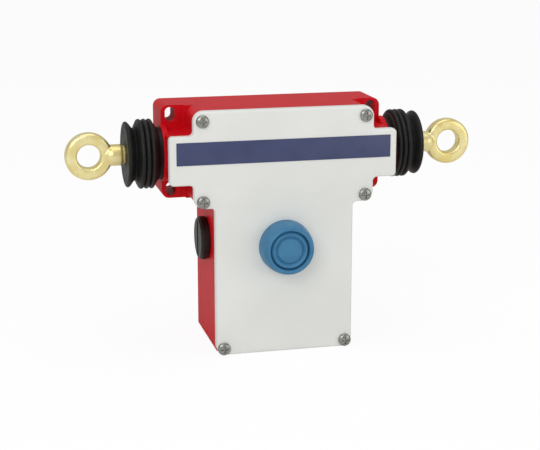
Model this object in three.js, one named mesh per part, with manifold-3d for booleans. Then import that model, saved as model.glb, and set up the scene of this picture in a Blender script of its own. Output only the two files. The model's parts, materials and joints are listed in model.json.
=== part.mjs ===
// A safety switch that two pull ropes work, one from each side. Both ropes hook on the eyes of
// one shaft; pulling either way slides the shaft, swings a lever and shifts the contact slider.
// The blue button frees the latch again. Units are millimetres.
// Frame: the origin is on the flat back, level with the rope line. Front is -Y, up is +Z.
import * as THREE from "three";
import { mergeVertices } from "three/addons/utils/BufferGeometryUtils.js";
import Module from "manifold-3d";

const wasm = await Module();
wasm.setup();

// Clearances and wall sizes that several pieces share.
const FIT = 0.3;
const REACH = 1;
const WALL = 4;
const REAR_WALL = 4;

// The body's outline, seen from the front: a wide bar, a head that is taller, a stem below.
const DEPTH = 60;
const BAR_HALF = 66;
const BAR_RISE = 13.9;
const HEAD_HALF = 52.3;
const HEAD_RISE = 27.7;
const STEM_HALF = 40.35;
const STEM_DROP = 114.5;
const OUTER_CORNER = 6;
const BAR_CORNER = 2.4;
const INNER_CORNER = 2.5;

// Layers of the body, from the front.
const COVER_THICK = 4.8;
const COVER_EDGE = 1.1;
const COVER_SKIN = 2.6;
const COVER_RIM = 4;
const GASKET_THICK = 1.4;
const GASKET_INSET = 0.35;
const GASKET_BAND = 3.6;
const HOUSING_INSET = 0.6;
const STRIPE_HALF = 62.1;
const STRIPE_LOW = -2.3;
const STRIPE_HIGH = 10.6;
const STRIPE_THICK = 0.35;

// Rear block with the four mounting lugs.
const LUG_DEPTH = 27.8;
const LUG_CORNER = 4.2;
const LUG_STEP_WIDTH = 2.2;
const LUG_STEP_RISE = 2.4;
const SLOT_X = 60;
const SLOT_Z = 21.5;
const SLOT_WIDTH = 6.7;
const SLOT_HEIGHT = 8.2;
const SLOT_RELIEF = 2;
const SLOT_RELIEF_DEPTH = 16;

// Cover screws, in three pairs from the top down.
const SCREW_PLACES = [
  ["top", 47.3, 22.2],
  ["middle", 47.3, -23.6],
  ["bottom", 36.1, -110.5],
];
const SCREW_RADIUS = 2;
const SCREW_HEAD_RADIUS = 3.7;
const SCREW_HEAD_HEIGHT = 2.3;
const SCREW_LENGTH = 16;
const SCREW_POST_RADIUS = 5;
const SMALL_SCREW_RADIUS = 1.5;
const SMALL_HEAD_RADIUS = 2.9;
const SMALL_HEAD_HEIGHT = 1.8;

// The rope line: shaft, bushes, bellows, eyes, springs. All lie on one axis along X.
const ROPE_DEPTH = 30;
const SHAFT_RADIUS = 6;
const SHAFT_REACH = 20.6;
const TRAVEL = 6;
const BUSH_RADIUS = 9.6;
const BUSH_INSIDE = 58;
const BUSH_FLANGE_RADIUS = 12.6;
const BUSH_FLANGE_THICK = 2.4;
const ROPE_BOSS_RADIUS = 16.5;
const ROPE_BOSS_RISE = 1;
const BELLOWS_RADIUS = 20;
const BELLOWS_WALL = 2.2;
const BELLOWS_GROOVE = 1.5;
const BELLOWS_RIBS = 3;
const BELLOWS_NECK_RADIUS = 15;
const BELLOWS_NECK_LENGTH = 1.6;
const BELLOWS_ROOT = 4.5;
const BELLOWS_WAIST_RADIUS = 15;
const BELLOWS_WAIST_WIDTH = 4.1;
const BELLOWS_LIP_RADIUS = 18.8;
const BELLOWS_LIP_WIDTH = 3.2;
const EYE_COLLAR_RADIUS = 5.3;
const EYE_COLLAR_LENGTH = 2.4;
const EYE_NECK_RADIUS = 6.15;
const EYE_NECK_LENGTH = 19;
const EYE_RADIUS = 13.5;
const EYE_HOLE_RADIUS = 6.7;
const EYE_THICK = 8;
const EYE_ROUND = 2;
const EYE_MOUTH = 1.3;
const EYE_STUD_RADIUS = 4;
const EYE_STUD_LENGTH = 14;
const RETURN_WIRE = 0.9;
const RETURN_COIL = 8.3;
const RETURN_TURNS = 6;
const CUP_THICK = 1.6;
const CUP_SLEEVE = 5;

// Trip collar on the shaft, and the lever that it swings.
const COLLAR_RADIUS = 12;
const COLLAR_HALF = 11;
const COLLAR_FLOOR = 8;
const COLLAR_PIN_RADIUS = 1.5;
const LOBE_RADIUS = 3;
const LOBE_PLAY = 0.5;
const LEVER_ARM = 22.5;
const LEVER_ARM_HALF = 1.8;
const LEVER_HUB_RADIUS = 5;
const LEVER_PLATE = 5;
const LEVER_REAR = 9.7;
const LEVER_PIN_RADIUS = 2.5;
const PIN_BOSS_RADIUS = 5.5;
const PIN_BOSS_DEPTH = 9.2;
const CLIP_THICK = 1;
const CLIP_WIDTH = 1.8;

// Contact set in the stem.
const PLATE_THICK = 1.5;
const PLATE_HALF = 34;
const PLATE_TOP = -50;
const PLATE_CORNER = 4;
const BLOCK_INSIDE = 2.5;
const BLOCK_OUTSIDE = 26;
const BLOCK_HEIGHT = 29;
const BLOCK_FRONT = -30;
const LIP_HEIGHT = 6;
const LIP_THICK = 2;
const LIP_INSIDE = 8;
const SLIDER_HALF = 28;
const SLIDER_THICK = 10;
const SLIDER_RISE = 4.3;
const BRIDGE_X = 14.5;
const BRIDGE_HALF = 3.5;
const BRIDGE_THICK = 1.5;
const BRIDGE_LENGTH = 7;
const BRIDGE_ROOT = 2.5;
const TERMINAL_X = [8.5, 20];
const TERMINAL_DROP = 17;
const PLATE_SCREW_X = 30;
const PLATE_SCREW_DROP = 6;
const EARTH_SCREW_DROP = 22;

// Reset button, on the stem's centre line, and the latch behind it.
const RESET_Z = -51.4;
const BOOT_BASE_RADIUS = 16;
const BOOT_FRONT_RADIUS = 13.9;
const BOOT_HEIGHT = 13.2;
const BOOT_MOUTH_RADIUS = 11.3;
const CAP_RADIUS = 10.3;
const CAP_THICK = 5.8;
const CAP_SINK = 0.4;
const CAP_RING_RADIUS = 8;
const CAP_RING_GROOVE = 0.9;
const RESET_BUSH_RADIUS = 10.7;
const RESET_BUSH_BORE = 8.2;
const RESET_BUSH_FLANGE = 13.6;
const RESET_BUSH_FLANGE_THICK = 2.4;
const RESET_BUSH_LENGTH = 14;
const RESET_LEDGE = 3;
const RESET_NUT_RADIUS = 15;
const RESET_NUT_THICK = 3.5;
const PLUNGER_RADIUS = 5.4;
const PLUNGER_TIP_RADIUS = 3;
const PLUNGER_TIP_Y = -27;
const RESET_WIRE = 0.5;
const RESET_COIL = 6.8;
const RESET_TURNS = 5;
const PAWL_ARM = 12;
const PAWL_PIVOT_Y = -24;
const PAWL_HALF = 5.7;
const PAWL_THICK = 4;
const PAWL_FACE = 2.6;
const PAWL_PIN_RADIUS = 1.5;
const PAWL_HUB_RADIUS = 3.2;
const PAWL_DROP = 8.6;
const PAWL_CLEAR = 2;
const BRACKET_THICK = 1.5;
const BRACKET_HALF = 12;
const BRACKET_RISE = 4.4;
const BRACKET_DROP = 10;
const BRACKET_EAR_DROP = 9;
const BRACKET_EAR_REACH = 9.5;
const BRACKET_SCREW_X = 8;
const BRACKET_SCREW_DROP = 5.5;

// Blanking plugs in the two cable entries of the stem.
const ENTRY_DEPTH = 30;
const ENTRY_Z = -51.4;
const ENTRY_BOSS_RADIUS = 13.5;
const ENTRY_BOSS_LENGTH = 3;
const PLUG_THREAD_RADIUS = 9.9;
const PLUG_HEAD_RADIUS = 12.7;
const PLUG_HEAD_THICK = 4.4;
const PLUG_BEVEL = 1.2;
const PLUG_SLOT_WIDTH = 3;
const PLUG_SLOT_DEPTH = 2.6;
const SEAL_THICK = 1;
const SEAL_INSET = 0.5;

// Facets.
const FINE_ROUND = 20;
const ROUND = 14;
const SMALL_ROUND = 8;
const ARC = 2;
const WIRE_ARC = 2;
const TURN_STEPS = 10;

// Places worked out from the sizes above.
const COVER_FRONT = -DEPTH;
const COVER_BACK = COVER_FRONT + COVER_THICK;
const COVER_SKIN_BACK = COVER_FRONT + COVER_SKIN;
const HOUSING_FRONT = COVER_BACK + GASKET_THICK;
const END_X = BAR_HALF - HOUSING_INSET;
const ROPE_SEAT_X = END_X + ROPE_BOSS_RISE;
const SHAFT_HALF = END_X + SHAFT_REACH;
const EYE_CENTRE = SHAFT_HALF + EYE_COLLAR_LENGTH + EYE_NECK_LENGTH;
const BLOCK_TOP_Z = HEAD_RISE - HOUSING_INSET;
const STEM_WALL_X = STEM_HALF - HOUSING_INSET;
const LEVER_Z = -(COLLAR_FLOOR + FIT + LOBE_RADIUS + LEVER_ARM);
const PLATE_FRONT = -REAR_WALL - PLATE_THICK;
const SLIDER_BACK = PLATE_FRONT - FIT;
const SLIDER_FRONT = SLIDER_BACK - SLIDER_THICK;
const PAWL_PIVOT_Z = RESET_Z - PAWL_ARM;
const SLIDER_TOP = LEVER_Z - LEVER_ARM + SLIDER_RISE;
const BLOCK_TOP = PAWL_PIVOT_Z - PAWL_DROP - PAWL_CLEAR;
const BLOCK_BOTTOM = BLOCK_TOP - BLOCK_HEIGHT;
const PLATE_BOTTOM = BLOCK_BOTTOM - REACH;
const TERMINAL_Z = BLOCK_TOP - TERMINAL_DROP;
const PLATE_SCREW_Z = BLOCK_TOP - PLATE_SCREW_DROP;
const EARTH_SCREW_Z = BLOCK_TOP - EARTH_SCREW_DROP;
const BRACKET_TOP = PAWL_PIVOT_Z + BRACKET_RISE;
const BRACKET_BOTTOM = BLOCK_TOP - BRACKET_DROP;
const BRACKET_SCREW_Z = BLOCK_TOP - BRACKET_SCREW_DROP;
const CAP_FRONT = COVER_FRONT - BOOT_HEIGHT + CAP_SINK;
const CAP_BACK = CAP_FRONT + CAP_THICK;
const RESET_BUSH_FRONT = COVER_FRONT - RESET_BUSH_FLANGE_THICK;
const RESET_BUSH_BACK = COVER_FRONT + RESET_BUSH_LENGTH;
const SIDES = [
  ["left", -1],
  ["right", 1],
];

// Finishes, as colour, roughness and metalness.
const FINISHES = {
  red: [0xc41622, 0.42, 0.1],
  cover: [0xdfe0dc, 0.38, 0.35],
  navy: [0x484f73, 0.4, 0],
  zinc: [0xb9bab6, 0.32, 0.9],
  steel: [0xa8aaab, 0.3, 1],
  rubber: [0x222220, 0.62, 0],
  gold: [0xf0dd9a, 0.34, 0.75],
  bronze: [0xb08a52, 0.4, 0.9],
  blue: [0x427aa0, 0.5, 0],
  black: [0x1a1816, 0.45, 0],
  ivory: [0xd8d2c0, 0.5, 0],
  brass: [0xc9a85a, 0.35, 0.9],
};

// A closed solid from a geometry; a profile may run either way round.
function solid(geometry) {
  const bare = geometry.clone();
  bare.deleteAttribute("normal");
  bare.deleteAttribute("uv");
  const merged = mergeVertices(bare, 1e-4);
  const index = merged.index.array;
  const corners = [];
  for (let i = 0; i < index.length; i += 3) {
    const [a, b, c] = [index[i], index[i + 1], index[i + 2]];
    if (a !== b && b !== c && c !== a) corners.push([a, b, c]);
  }
  const build = (triangles) =>
    new wasm.Manifold(
      new wasm.Mesh({
        numProp: 3,
        vertProperties: new Float32Array(merged.attributes.position.array),
        triVerts: new Uint32Array(triangles.flat()),
      }),
    );
  const made = build(corners);
  return made.volume() > 0 ? made : build(corners.map(([a, b, c]) => [a, c, b]));
}

const join = (...solids) => solids.reduce((whole, piece) => whole.add(piece));
const cut = (whole, ...cutters) => cutters.reduce((rest, cutter) => rest.subtract(cutter), whole);

// A closed outline from corners given as [across, up, radius], as arcs and straight lines.
function roundedShape(corners) {
  const shape = new THREE.Shape();
  corners.forEach(([across, up, radius], i) => {
    const corner = new THREE.Vector2(across, up);
    const [before, after] = [corners.at(i - 1), corners[(i + 1) % corners.length]];
    const back = new THREE.Vector2(before[0], before[1]).sub(corner).normalize();
    const ahead = new THREE.Vector2(after[0], after[1]).sub(corner).normalize();
    const half = Math.acos(back.dot(ahead)) / 2;
    const start = corner.clone().addScaledVector(back, radius / Math.tan(half));
    const end = corner.clone().addScaledVector(ahead, radius / Math.tan(half));
    const inward = back.clone().add(ahead).normalize();
    const centre = corner.clone().addScaledVector(inward, radius / Math.sin(half));
    const clockwise = back.cross(ahead) > 0;
    const [from, to] = [start.sub(centre).angle(), end.sub(centre).angle()];
    shape.absarc(centre.x, centre.y, radius, from, to, clockwise);
  });
  return shape;
}

const rectangle = (left, right, low, high, radius) =>
  roundedShape([
    [left, low, radius],
    [right, low, radius],
    [right, high, radius],
    [left, high, radius],
  ]);

// The body's outline moved inwards by inset, with or without the ends of the bar.
function bodyOutline(inset, withBar = true) {
  const convex = Math.max(OUTER_CORNER - inset, REACH);
  const concave = INNER_CORNER + inset;
  const head = HEAD_HALF - inset;
  const stem = STEM_HALF - inset;
  const rise = HEAD_RISE - inset;
  const barRise = BAR_RISE - inset;
  const barEnd = [BAR_HALF - inset, Math.max(BAR_CORNER - inset, REACH / 2)];
  const bar = [
    [head, -barRise, concave],
    [barEnd[0], -barRise, barEnd[1]],
    [barEnd[0], barRise, barEnd[1]],
    [head, barRise, concave],
  ];
  const right = [
    [stem, inset - STEM_DROP, convex],
    [stem, -rise, concave],
    [head, -rise, convex],
    ...(withBar ? bar : []),
    [head, rise, convex],
  ];
  const left = right.map(([x, z, radius]) => [-x, z, radius]).reverse();
  return roundedShape([...right, ...left]);
}

// A shape drawn in X and Z, made solid from its front y to its back y.
function prism(shape, front, back, arc = ARC) {
  const settings = { depth: back - front, bevelEnabled: false, curveSegments: arc };
  const geometry = new THREE.ExtrudeGeometry(shape, settings);
  return solid(geometry.rotateX(Math.PI / 2).translate(0, back, 0));
}

// A shape drawn in Y and Z, made solid from low x to high x.
function sidePrism(shape, low, high) {
  const settings = { depth: high - low, bevelEnabled: false, curveSegments: ARC };
  const geometry = new THREE.ExtrudeGeometry(shape, settings);
  return solid(geometry.rotateX(Math.PI / 2).rotateZ(Math.PI / 2).translate(low, 0, 0));
}

function block(low, high) {
  const size = high.map((value, i) => value - low[i]);
  const middle = high.map((value, i) => (value + low[i]) / 2);
  return solid(new THREE.BoxGeometry(...size).translate(...middle));
}

// A turned piece: the profile is [radius, place along the axis], on a line through at.
function turned(axis, profile, at = [0, 0, 0], segments = ROUND) {
  const points = profile.map(([radius, along]) => new THREE.Vector2(radius, along));
  const geometry = new THREE.LatheGeometry(points, segments);
  if (axis === "x") geometry.rotateZ(-Math.PI / 2);
  if (axis === "z") geometry.rotateX(Math.PI / 2);
  return solid(geometry.translate(...at));
}

// The same, along X and handed: sign puts it on the left or on the right.
const turnedAlong = (sign, profile, segments = FINE_ROUND) =>
  turned("x", profile.map(([radius, x]) => [radius, sign * x]), [0, 0, 0], segments);

const rod = (axis, radius, from, to, at, segments) =>
  turned(axis, [[0, from], [radius, from], [radius, to], [0, to]], at, segments);

const ring = (axis, inner, outer, from, to, at, segments) =>
  turned(
    axis,
    [[inner, from], [outer, from], [outer, to], [inner, to], [inner, from]],
    at,
    segments,
  );

// A coil spring's centre line: its end turns lie close, the rest are spread evenly.
class SpringLine extends THREE.Curve {
  constructor(axis, radius, wire, turns, from, to) {
    super();
    Object.assign(this, { axis, radius, wire, turns, from, to });
  }

  getPoint(t, target = new THREE.Vector3()) {
    const turn = t * this.turns;
    const closed = this.wire * 2 + FIT / 2;
    const first = Math.min(turn, 1) + Math.max(turn - this.turns + 1, 0);
    const spread = Math.min(Math.max(turn - 1, 0), this.turns - 2) / (this.turns - 2);
    const length = Math.abs(this.to - this.from) - this.wire * 2;
    const travelled = this.wire + first * closed + spread * (length - 2 * closed);
    const along = this.from + Math.sign(this.to - this.from) * travelled;
    const angle = turn * Math.PI * 2;
    const [a, b] = [this.radius * Math.cos(angle), this.radius * Math.sin(angle)];
    return this.axis === "x" ? target.set(along, a, b) : target.set(a, along, b);
  }
}

function spring(line) {
  const wire = new THREE.Shape().absarc(0, 0, line.wire, 0, Math.PI * 2);
  const settings = {
    steps: line.turns * TURN_STEPS,
    curveSegments: WIRE_ARC,
    extrudePath: line,
  };
  return solid(new THREE.ExtrudeGeometry(wire, settings));
}

function crossRecess(radius, depth, front, x, z) {
  const half = radius * 0.16;
  const long = radius * 0.62;
  return join(
    block([x - long, front - REACH, z - half], [x + long, front + depth, z + half]),
    block([x - half, front - REACH, z - long], [x + half, front + depth, z + long]),
  );
}

// A pan-head screw that faces the front, its head's seat at y = seat.
function screw(x, z, seat, shank, head, height, length) {
  const profile = [
    [0, seat - height],
    [head * 0.6, seat - height],
    [head * 0.92, seat - height * 0.7],
    [head, seat - height * 0.25],
    [head, seat],
    [shank, seat],
    [shank, seat + length],
    [0, seat + length],
  ];
  const body = turned("y", profile, [x, 0, z], SMALL_ROUND);
  return cut(body, crossRecess(head, height * 0.25, seat - height, x, z));
}

const part = new THREE.Group();

function add(group, name, made, finish) {
  const data = made.getMesh();
  const geometry = new THREE.BufferGeometry();
  geometry.setAttribute("position", new THREE.BufferAttribute(data.vertProperties, 3));
  geometry.setIndex(new THREE.BufferAttribute(data.triVerts, 1));
  geometry.computeVertexNormals();
  const [color, roughness, metalness] = FINISHES[finish];
  const material = new THREE.MeshStandardMaterial({ color, roughness, metalness });
  const mesh = new THREE.Mesh(geometry, material);
  mesh.name = name;
  group.add(mesh);
}

const screwPoints = SCREW_PLACES.flatMap(([level, x, z]) =>
  SIDES.map(([side, sign]) => ({ name: `${level}_${side}`, x: sign * x, z })),
);

// One mounting slot goes through each lug; its rear part is wider towards the body.
function mountingSlot(sideways, upwards) {
  const radius = SLOT_WIDTH / 2 - FIT;
  const outer = sideways * (SLOT_X + SLOT_WIDTH / 2);
  const inner = sideways * (SLOT_X - SLOT_WIDTH / 2);
  const top = upwards * (SLOT_Z + SLOT_HEIGHT / 2);
  const bottom = upwards * (SLOT_Z - SLOT_HEIGHT / 2);
  const hole = (reliefX, reliefZ, front) => {
    const shape = rectangle(
      Math.min(outer, reliefX),
      Math.max(outer, reliefX),
      Math.min(top, reliefZ),
      Math.max(top, reliefZ),
      radius,
    );
    return prism(shape, front, REACH);
  };
  const reliefX = inner - sideways * SLOT_RELIEF;
  const reliefZ = bottom - upwards * SLOT_RELIEF;
  return join(hole(inner, bottom, -LUG_DEPTH - REACH), hole(reliefX, reliefZ, -SLOT_RELIEF_DEPTH));
}

// Holes of one size at several places of the front, between two depths.
const frontHoles = (points, radius, front, back) =>
  points.map(({ x, z }) => rod("y", radius, front, back, [x, 0, z], SMALL_ROUND));

// Rods of one size on both sides, along X, between two places on a line through at.
const sideRods = (radius, from, to, at) =>
  SIDES.map(([, sign]) => rod("x", radius, sign * from, sign * to, at));

// The die-cast body: bar, head and stem, the rear block with its lugs, one open cavity.
function housing() {
  const body = prism(bodyOutline(HOUSING_INSET), HOUSING_FRONT, 0);
  const blockShape = rectangle(-END_X, END_X, -BLOCK_TOP_Z, BLOCK_TOP_Z, LUG_CORNER);
  const rearBlock = prism(blockShape, -LUG_DEPTH, 0);
  const stepOutline = bodyOutline(HOUSING_INSET - LUG_STEP_WIDTH);
  const stepShape = prism(stepOutline, -LUG_DEPTH - LUG_STEP_RISE, -LUG_DEPTH);
  const step = stepShape.intersect(prism(blockShape, -DEPTH, 0));
  const inner = bodyOutline(HOUSING_INSET + WALL, false);
  const cavity = prism(inner, HOUSING_FRONT - REACH, -REAR_WALL);
  const shell = cut(join(body, rearBlock, step), cavity);

  const floor = -REAR_WALL / 2;
  const posts = join(...frontHoles(screwPoints, SCREW_POST_RADIUS, HOUSING_FRONT, floor));
  const pinBoss = rod("y", PIN_BOSS_RADIUS, -PIN_BOSS_DEPTH, floor, [0, 0, LEVER_Z]);
  const rope = [0, -ROPE_DEPTH, 0];
  const ropeBosses = sideRods(ROPE_BOSS_RADIUS, END_X - WALL / 2, ROPE_SEAT_X, rope);
  const entry = [0, -ENTRY_DEPTH, ENTRY_Z];
  const wallInside = STEM_WALL_X - WALL;
  const bossInside = wallInside - ENTRY_BOSS_LENGTH;
  const entryBosses = sideRods(ENTRY_BOSS_RADIUS, bossInside, wallInside + WALL / 2, entry);
  const filled = join(shell, posts.intersect(body), pinBoss, ...ropeBosses, ...entryBosses);

  const bushStart = HEAD_HALF - HOUSING_INSET - WALL - REACH;
  const postEnd = COVER_FRONT + SCREW_LENGTH + REACH;
  const pin = [{ x: 0, z: LEVER_Z }];
  return cut(
    filled,
    ...sideRods(BUSH_RADIUS + FIT, bushStart, ROPE_SEAT_X + REACH, rope),
    ...sideRods(PLUG_THREAD_RADIUS + FIT, bossInside - REACH, STEM_WALL_X + REACH, entry),
    ...frontHoles(screwPoints, SCREW_RADIUS + FIT, HOUSING_FRONT - REACH, postEnd),
    ...frontHoles(pin, LEVER_PIN_RADIUS + FIT, -PIN_BOSS_DEPTH - REACH, -REAR_WALL),
    ...frontHoles(plateScrewPoints(), SMALL_SCREW_RADIUS + FIT, -REAR_WALL - REACH, -REAR_WALL / 4),
    ...SIDES.flatMap(([, sideways]) => SIDES.map(([, upwards]) => mountingSlot(sideways, upwards))),
  );
}

function plateScrewPoints() {
  return [
    { name: "plate_screw_left", x: -PLATE_SCREW_X, z: PLATE_SCREW_Z },
    { name: "plate_screw_right", x: PLATE_SCREW_X, z: PLATE_SCREW_Z },
    { name: "earth_screw", x: PLATE_SCREW_X, z: EARTH_SCREW_Z },
  ];
}

// The cover: a shallow tray with a rounded front edge, pads round its screws and a button hole.
function coverPlate() {
  const settings = {
    depth: COVER_THICK,
    bevelThickness: COVER_EDGE,
    bevelSize: COVER_EDGE,
    bevelOffset: -COVER_EDGE,
    bevelSegments: 2,
    curveSegments: ARC,
  };
  const geometry = new THREE.ExtrudeGeometry(bodyOutline(0), settings);
  const rounded = solid(geometry.rotateX(Math.PI / 2).translate(0, COVER_BACK + COVER_EDGE, 0));
  const behind = block(
    [-BAR_HALF - REACH, COVER_BACK, -STEM_DROP - REACH],
    [BAR_HALF + REACH, COVER_BACK + DEPTH, HEAD_RISE + REACH],
  );
  const plate = cut(rounded, behind);
  const pads = frontHoles(screwPoints, SCREW_POST_RADIUS + REACH, -DEPTH, 0);
  const tray = prism(bodyOutline(COVER_RIM), COVER_SKIN_BACK, COVER_BACK + REACH);
  const holes = frontHoles(screwPoints, SCREW_RADIUS + FIT, -DEPTH - REACH, 0);
  const buttonHole = rod("y", RESET_BUSH_RADIUS + FIT, -DEPTH - REACH, 0, [0, 0, RESET_Z]);
  return cut(plate, cut(tray, ...pads), ...holes, buttonHole);
}

function coverGasket() {
  const outside = bodyOutline(GASKET_INSET);
  const band = cut(
    prism(outside, COVER_BACK, HOUSING_FRONT),
    prism(bodyOutline(GASKET_INSET + GASKET_BAND), COVER_BACK - REACH, HOUSING_FRONT + REACH),
  );
  const eyes = join(...frontHoles(screwPoints, SCREW_POST_RADIUS, COVER_BACK, HOUSING_FRONT));
  const full = join(band, eyes.intersect(prism(outside, COVER_BACK, HOUSING_FRONT)));
  return cut(full, ...frontHoles(screwPoints, SCREW_RADIUS + FIT, -DEPTH, 0));
}

add(part, "housing", housing(), "red");
add(part, "cover_gasket", coverGasket(), "black");
add(part, "cover_plate", coverPlate(), "cover");
const stripeShape = rectangle(-STRIPE_HALF, STRIPE_HALF, STRIPE_LOW, STRIPE_HIGH, STRIPE_THICK);
add(part, "cover_stripe", prism(stripeShape, COVER_FRONT - STRIPE_THICK, COVER_FRONT), "navy");
for (const { name, x, z } of screwPoints) {
  const head = [SCREW_HEAD_RADIUS, SCREW_HEAD_HEIGHT];
  const made = screw(x, z, COVER_FRONT, SCREW_RADIUS, ...head, SCREW_LENGTH);
  add(part, `cover_screw_${name}`, made, "zinc");
}

// The rope line hangs on its own axis, so its pieces are drawn round it.
const ropeLine = new THREE.Group();
ropeLine.position.set(0, -ROPE_DEPTH, 0);
part.add(ropeLine);

// The bellows' section: a neck on the bush, ribs, a notch, an outer lip, a web on the collar. Each
// point in these lists is [share of the width along the line, share of the groove's depth inwards].
const RIB_SHAPE = [[0.06, 1], [0.34, 0], [0.66, 0], [0.94, 1]];
const WAIST_SHAPE = [[0.5, 0], [0.7, -0.1]];
const LIP_SHAPE = [[0, 1.2], [0.45, 0.15], [0.65, 0], [0.85, 0.5], [1, 2]];

function bellows(sign) {
  const along = (shape, radius, start, width) =>
    shape.map(([share, depth]) => [radius - BELLOWS_GROOVE * depth, start + width * share]);
  const end = SHAFT_HALF + EYE_COLLAR_LENGTH / 2;
  const lip = end - BELLOWS_LIP_WIDTH;
  const waist = lip - BELLOWS_WAIST_WIDTH;
  const ribs = ROPE_SEAT_X + BELLOWS_ROOT;
  const pitch = (waist - ribs) / BELLOWS_RIBS;
  const neck = ROPE_SEAT_X + BELLOWS_NECK_LENGTH;
  const outer = [[BELLOWS_NECK_RADIUS, ROPE_SEAT_X], [BELLOWS_NECK_RADIUS, neck]];
  for (let i = 0; i < BELLOWS_RIBS; i += 1) {
    outer.push(...along(RIB_SHAPE, BELLOWS_RADIUS, ribs + i * pitch, pitch));
  }
  outer.push(...along(WAIST_SHAPE, BELLOWS_WAIST_RADIUS, waist, BELLOWS_WAIST_WIDTH));
  outer.push(...along(LIP_SHAPE, BELLOWS_LIP_RADIUS, lip, BELLOWS_LIP_WIDTH));
  const hole = EYE_COLLAR_RADIUS + FIT / 2;
  const grip = BUSH_FLANGE_RADIUS + FIT / 2;
  const inside = BELLOWS_RADIUS - BELLOWS_GROOVE - BELLOWS_WALL;
  const inner = [
    [hole, end],
    [hole, end - BELLOWS_WALL / 2],
    [outer.at(-1)[0], end - BELLOWS_WALL / 2 - FIT],
    [BELLOWS_LIP_RADIUS - BELLOWS_WALL, (lip + end) / 2],
    [BELLOWS_WAIST_RADIUS - BELLOWS_WALL, (waist + lip) / 2],
    [inside, waist - BELLOWS_WALL / 2],
    [inside, ribs],
    [grip, neck + BELLOWS_WALL / 2],
    [grip, ROPE_SEAT_X],
  ];
  return turnedAlong(sign, [...outer, ...inner, outer[0]]);
}

function endBush(sign) {
  const profile = [
    [SHAFT_RADIUS + FIT, BUSH_INSIDE],
    [BUSH_RADIUS, BUSH_INSIDE],
    [BUSH_RADIUS, ROPE_SEAT_X],
    [BUSH_FLANGE_RADIUS, ROPE_SEAT_X],
    [BUSH_FLANGE_RADIUS, ROPE_SEAT_X + BUSH_FLANGE_THICK],
    [SHAFT_RADIUS + FIT, ROPE_SEAT_X + BUSH_FLANGE_THICK],
    [SHAFT_RADIUS + FIT, BUSH_INSIDE],
  ];
  return turnedAlong(sign, profile);
}

// A forged eye: a thick ring with rounded edges, a round neck and a threaded stud.
function eyeBolt(sign) {
  const half = EYE_THICK / 2;
  const section = [
    [EYE_HOLE_RADIUS, -half + EYE_ROUND],
    [EYE_HOLE_RADIUS + EYE_MOUTH * 0.35, -half + EYE_ROUND * 0.3],
    [EYE_HOLE_RADIUS + EYE_MOUTH, -half],
    [EYE_RADIUS - EYE_ROUND, -half],
    [EYE_RADIUS - EYE_ROUND * 0.35, -half + EYE_ROUND * 0.4],
    [EYE_RADIUS, -half + EYE_ROUND],
  ];
  const mirrored = section.map(([radius, y]) => [radius, -y]).reverse();
  const around = [...section, ...mirrored, section[0]];
  const eye = turned("y", around, [sign * EYE_CENTRE, 0, 0], FINE_ROUND);
  const neckStart = SHAFT_HALF + EYE_COLLAR_LENGTH;
  const neckEnd = EYE_CENTRE - EYE_HOLE_RADIUS - EYE_MOUTH - REACH / 2;
  const profile = [
    [0, SHAFT_HALF - EYE_STUD_LENGTH],
    [EYE_STUD_RADIUS, SHAFT_HALF - EYE_STUD_LENGTH],
    [EYE_STUD_RADIUS, neckStart],
    [EYE_NECK_RADIUS - EYE_MOUTH / 2, neckStart],
    [EYE_NECK_RADIUS, neckStart + EYE_MOUTH / 2],
    [EYE_NECK_RADIUS, EYE_CENTRE - EYE_RADIUS + EYE_ROUND / 2],
    [half, neckEnd],
    [0, neckEnd],
  ];
  return join(eye, turnedAlong(sign, profile, ROUND));
}

const boredEnd = (sign) =>
  rod(
    "x",
    EYE_STUD_RADIUS + FIT,
    sign * (SHAFT_HALF - EYE_STUD_LENGTH - REACH),
    sign * (SHAFT_HALF + REACH),
  );
const collarPinX = (COLLAR_HALF + LOBE_RADIUS + LOBE_PLAY) / 2;
const pinBore = rod("z", COLLAR_PIN_RADIUS + FIT, -DEPTH, DEPTH, [collarPinX, 0, 0], SMALL_ROUND);
const shaftRod = rod("x", SHAFT_RADIUS, -SHAFT_HALF, SHAFT_HALF);
add(ropeLine, "pull_shaft", cut(shaftRod, boredEnd(-1), boredEnd(1), pinBore), "steel");

function tripCollar() {
  const groove = LOBE_RADIUS + LOBE_PLAY;
  const bore = SHAFT_RADIUS + FIT;
  const edge = COLLAR_RADIUS - REACH;
  const profile = [
    [bore, -COLLAR_HALF],
    [edge, -COLLAR_HALF],
    [COLLAR_RADIUS, REACH - COLLAR_HALF],
    [COLLAR_RADIUS, -groove],
    [COLLAR_FLOOR, -groove],
    [COLLAR_FLOOR, groove],
    [COLLAR_RADIUS, groove],
    [COLLAR_RADIUS, COLLAR_HALF - REACH],
    [edge, COLLAR_HALF],
    [bore, COLLAR_HALF],
    [bore, -COLLAR_HALF],
  ];
  return cut(turned("x", profile), pinBore);
}
add(ropeLine, "trip_collar", tripCollar(), "steel");
const collarPinHalf = COLLAR_RADIUS - REACH;
const collarPinEnds = [-collarPinHalf, collarPinHalf];
const collarPin = rod("z", COLLAR_PIN_RADIUS, ...collarPinEnds, [collarPinX, 0, 0], SMALL_ROUND);
add(ropeLine, "collar_pin", collarPin, "steel");

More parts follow.
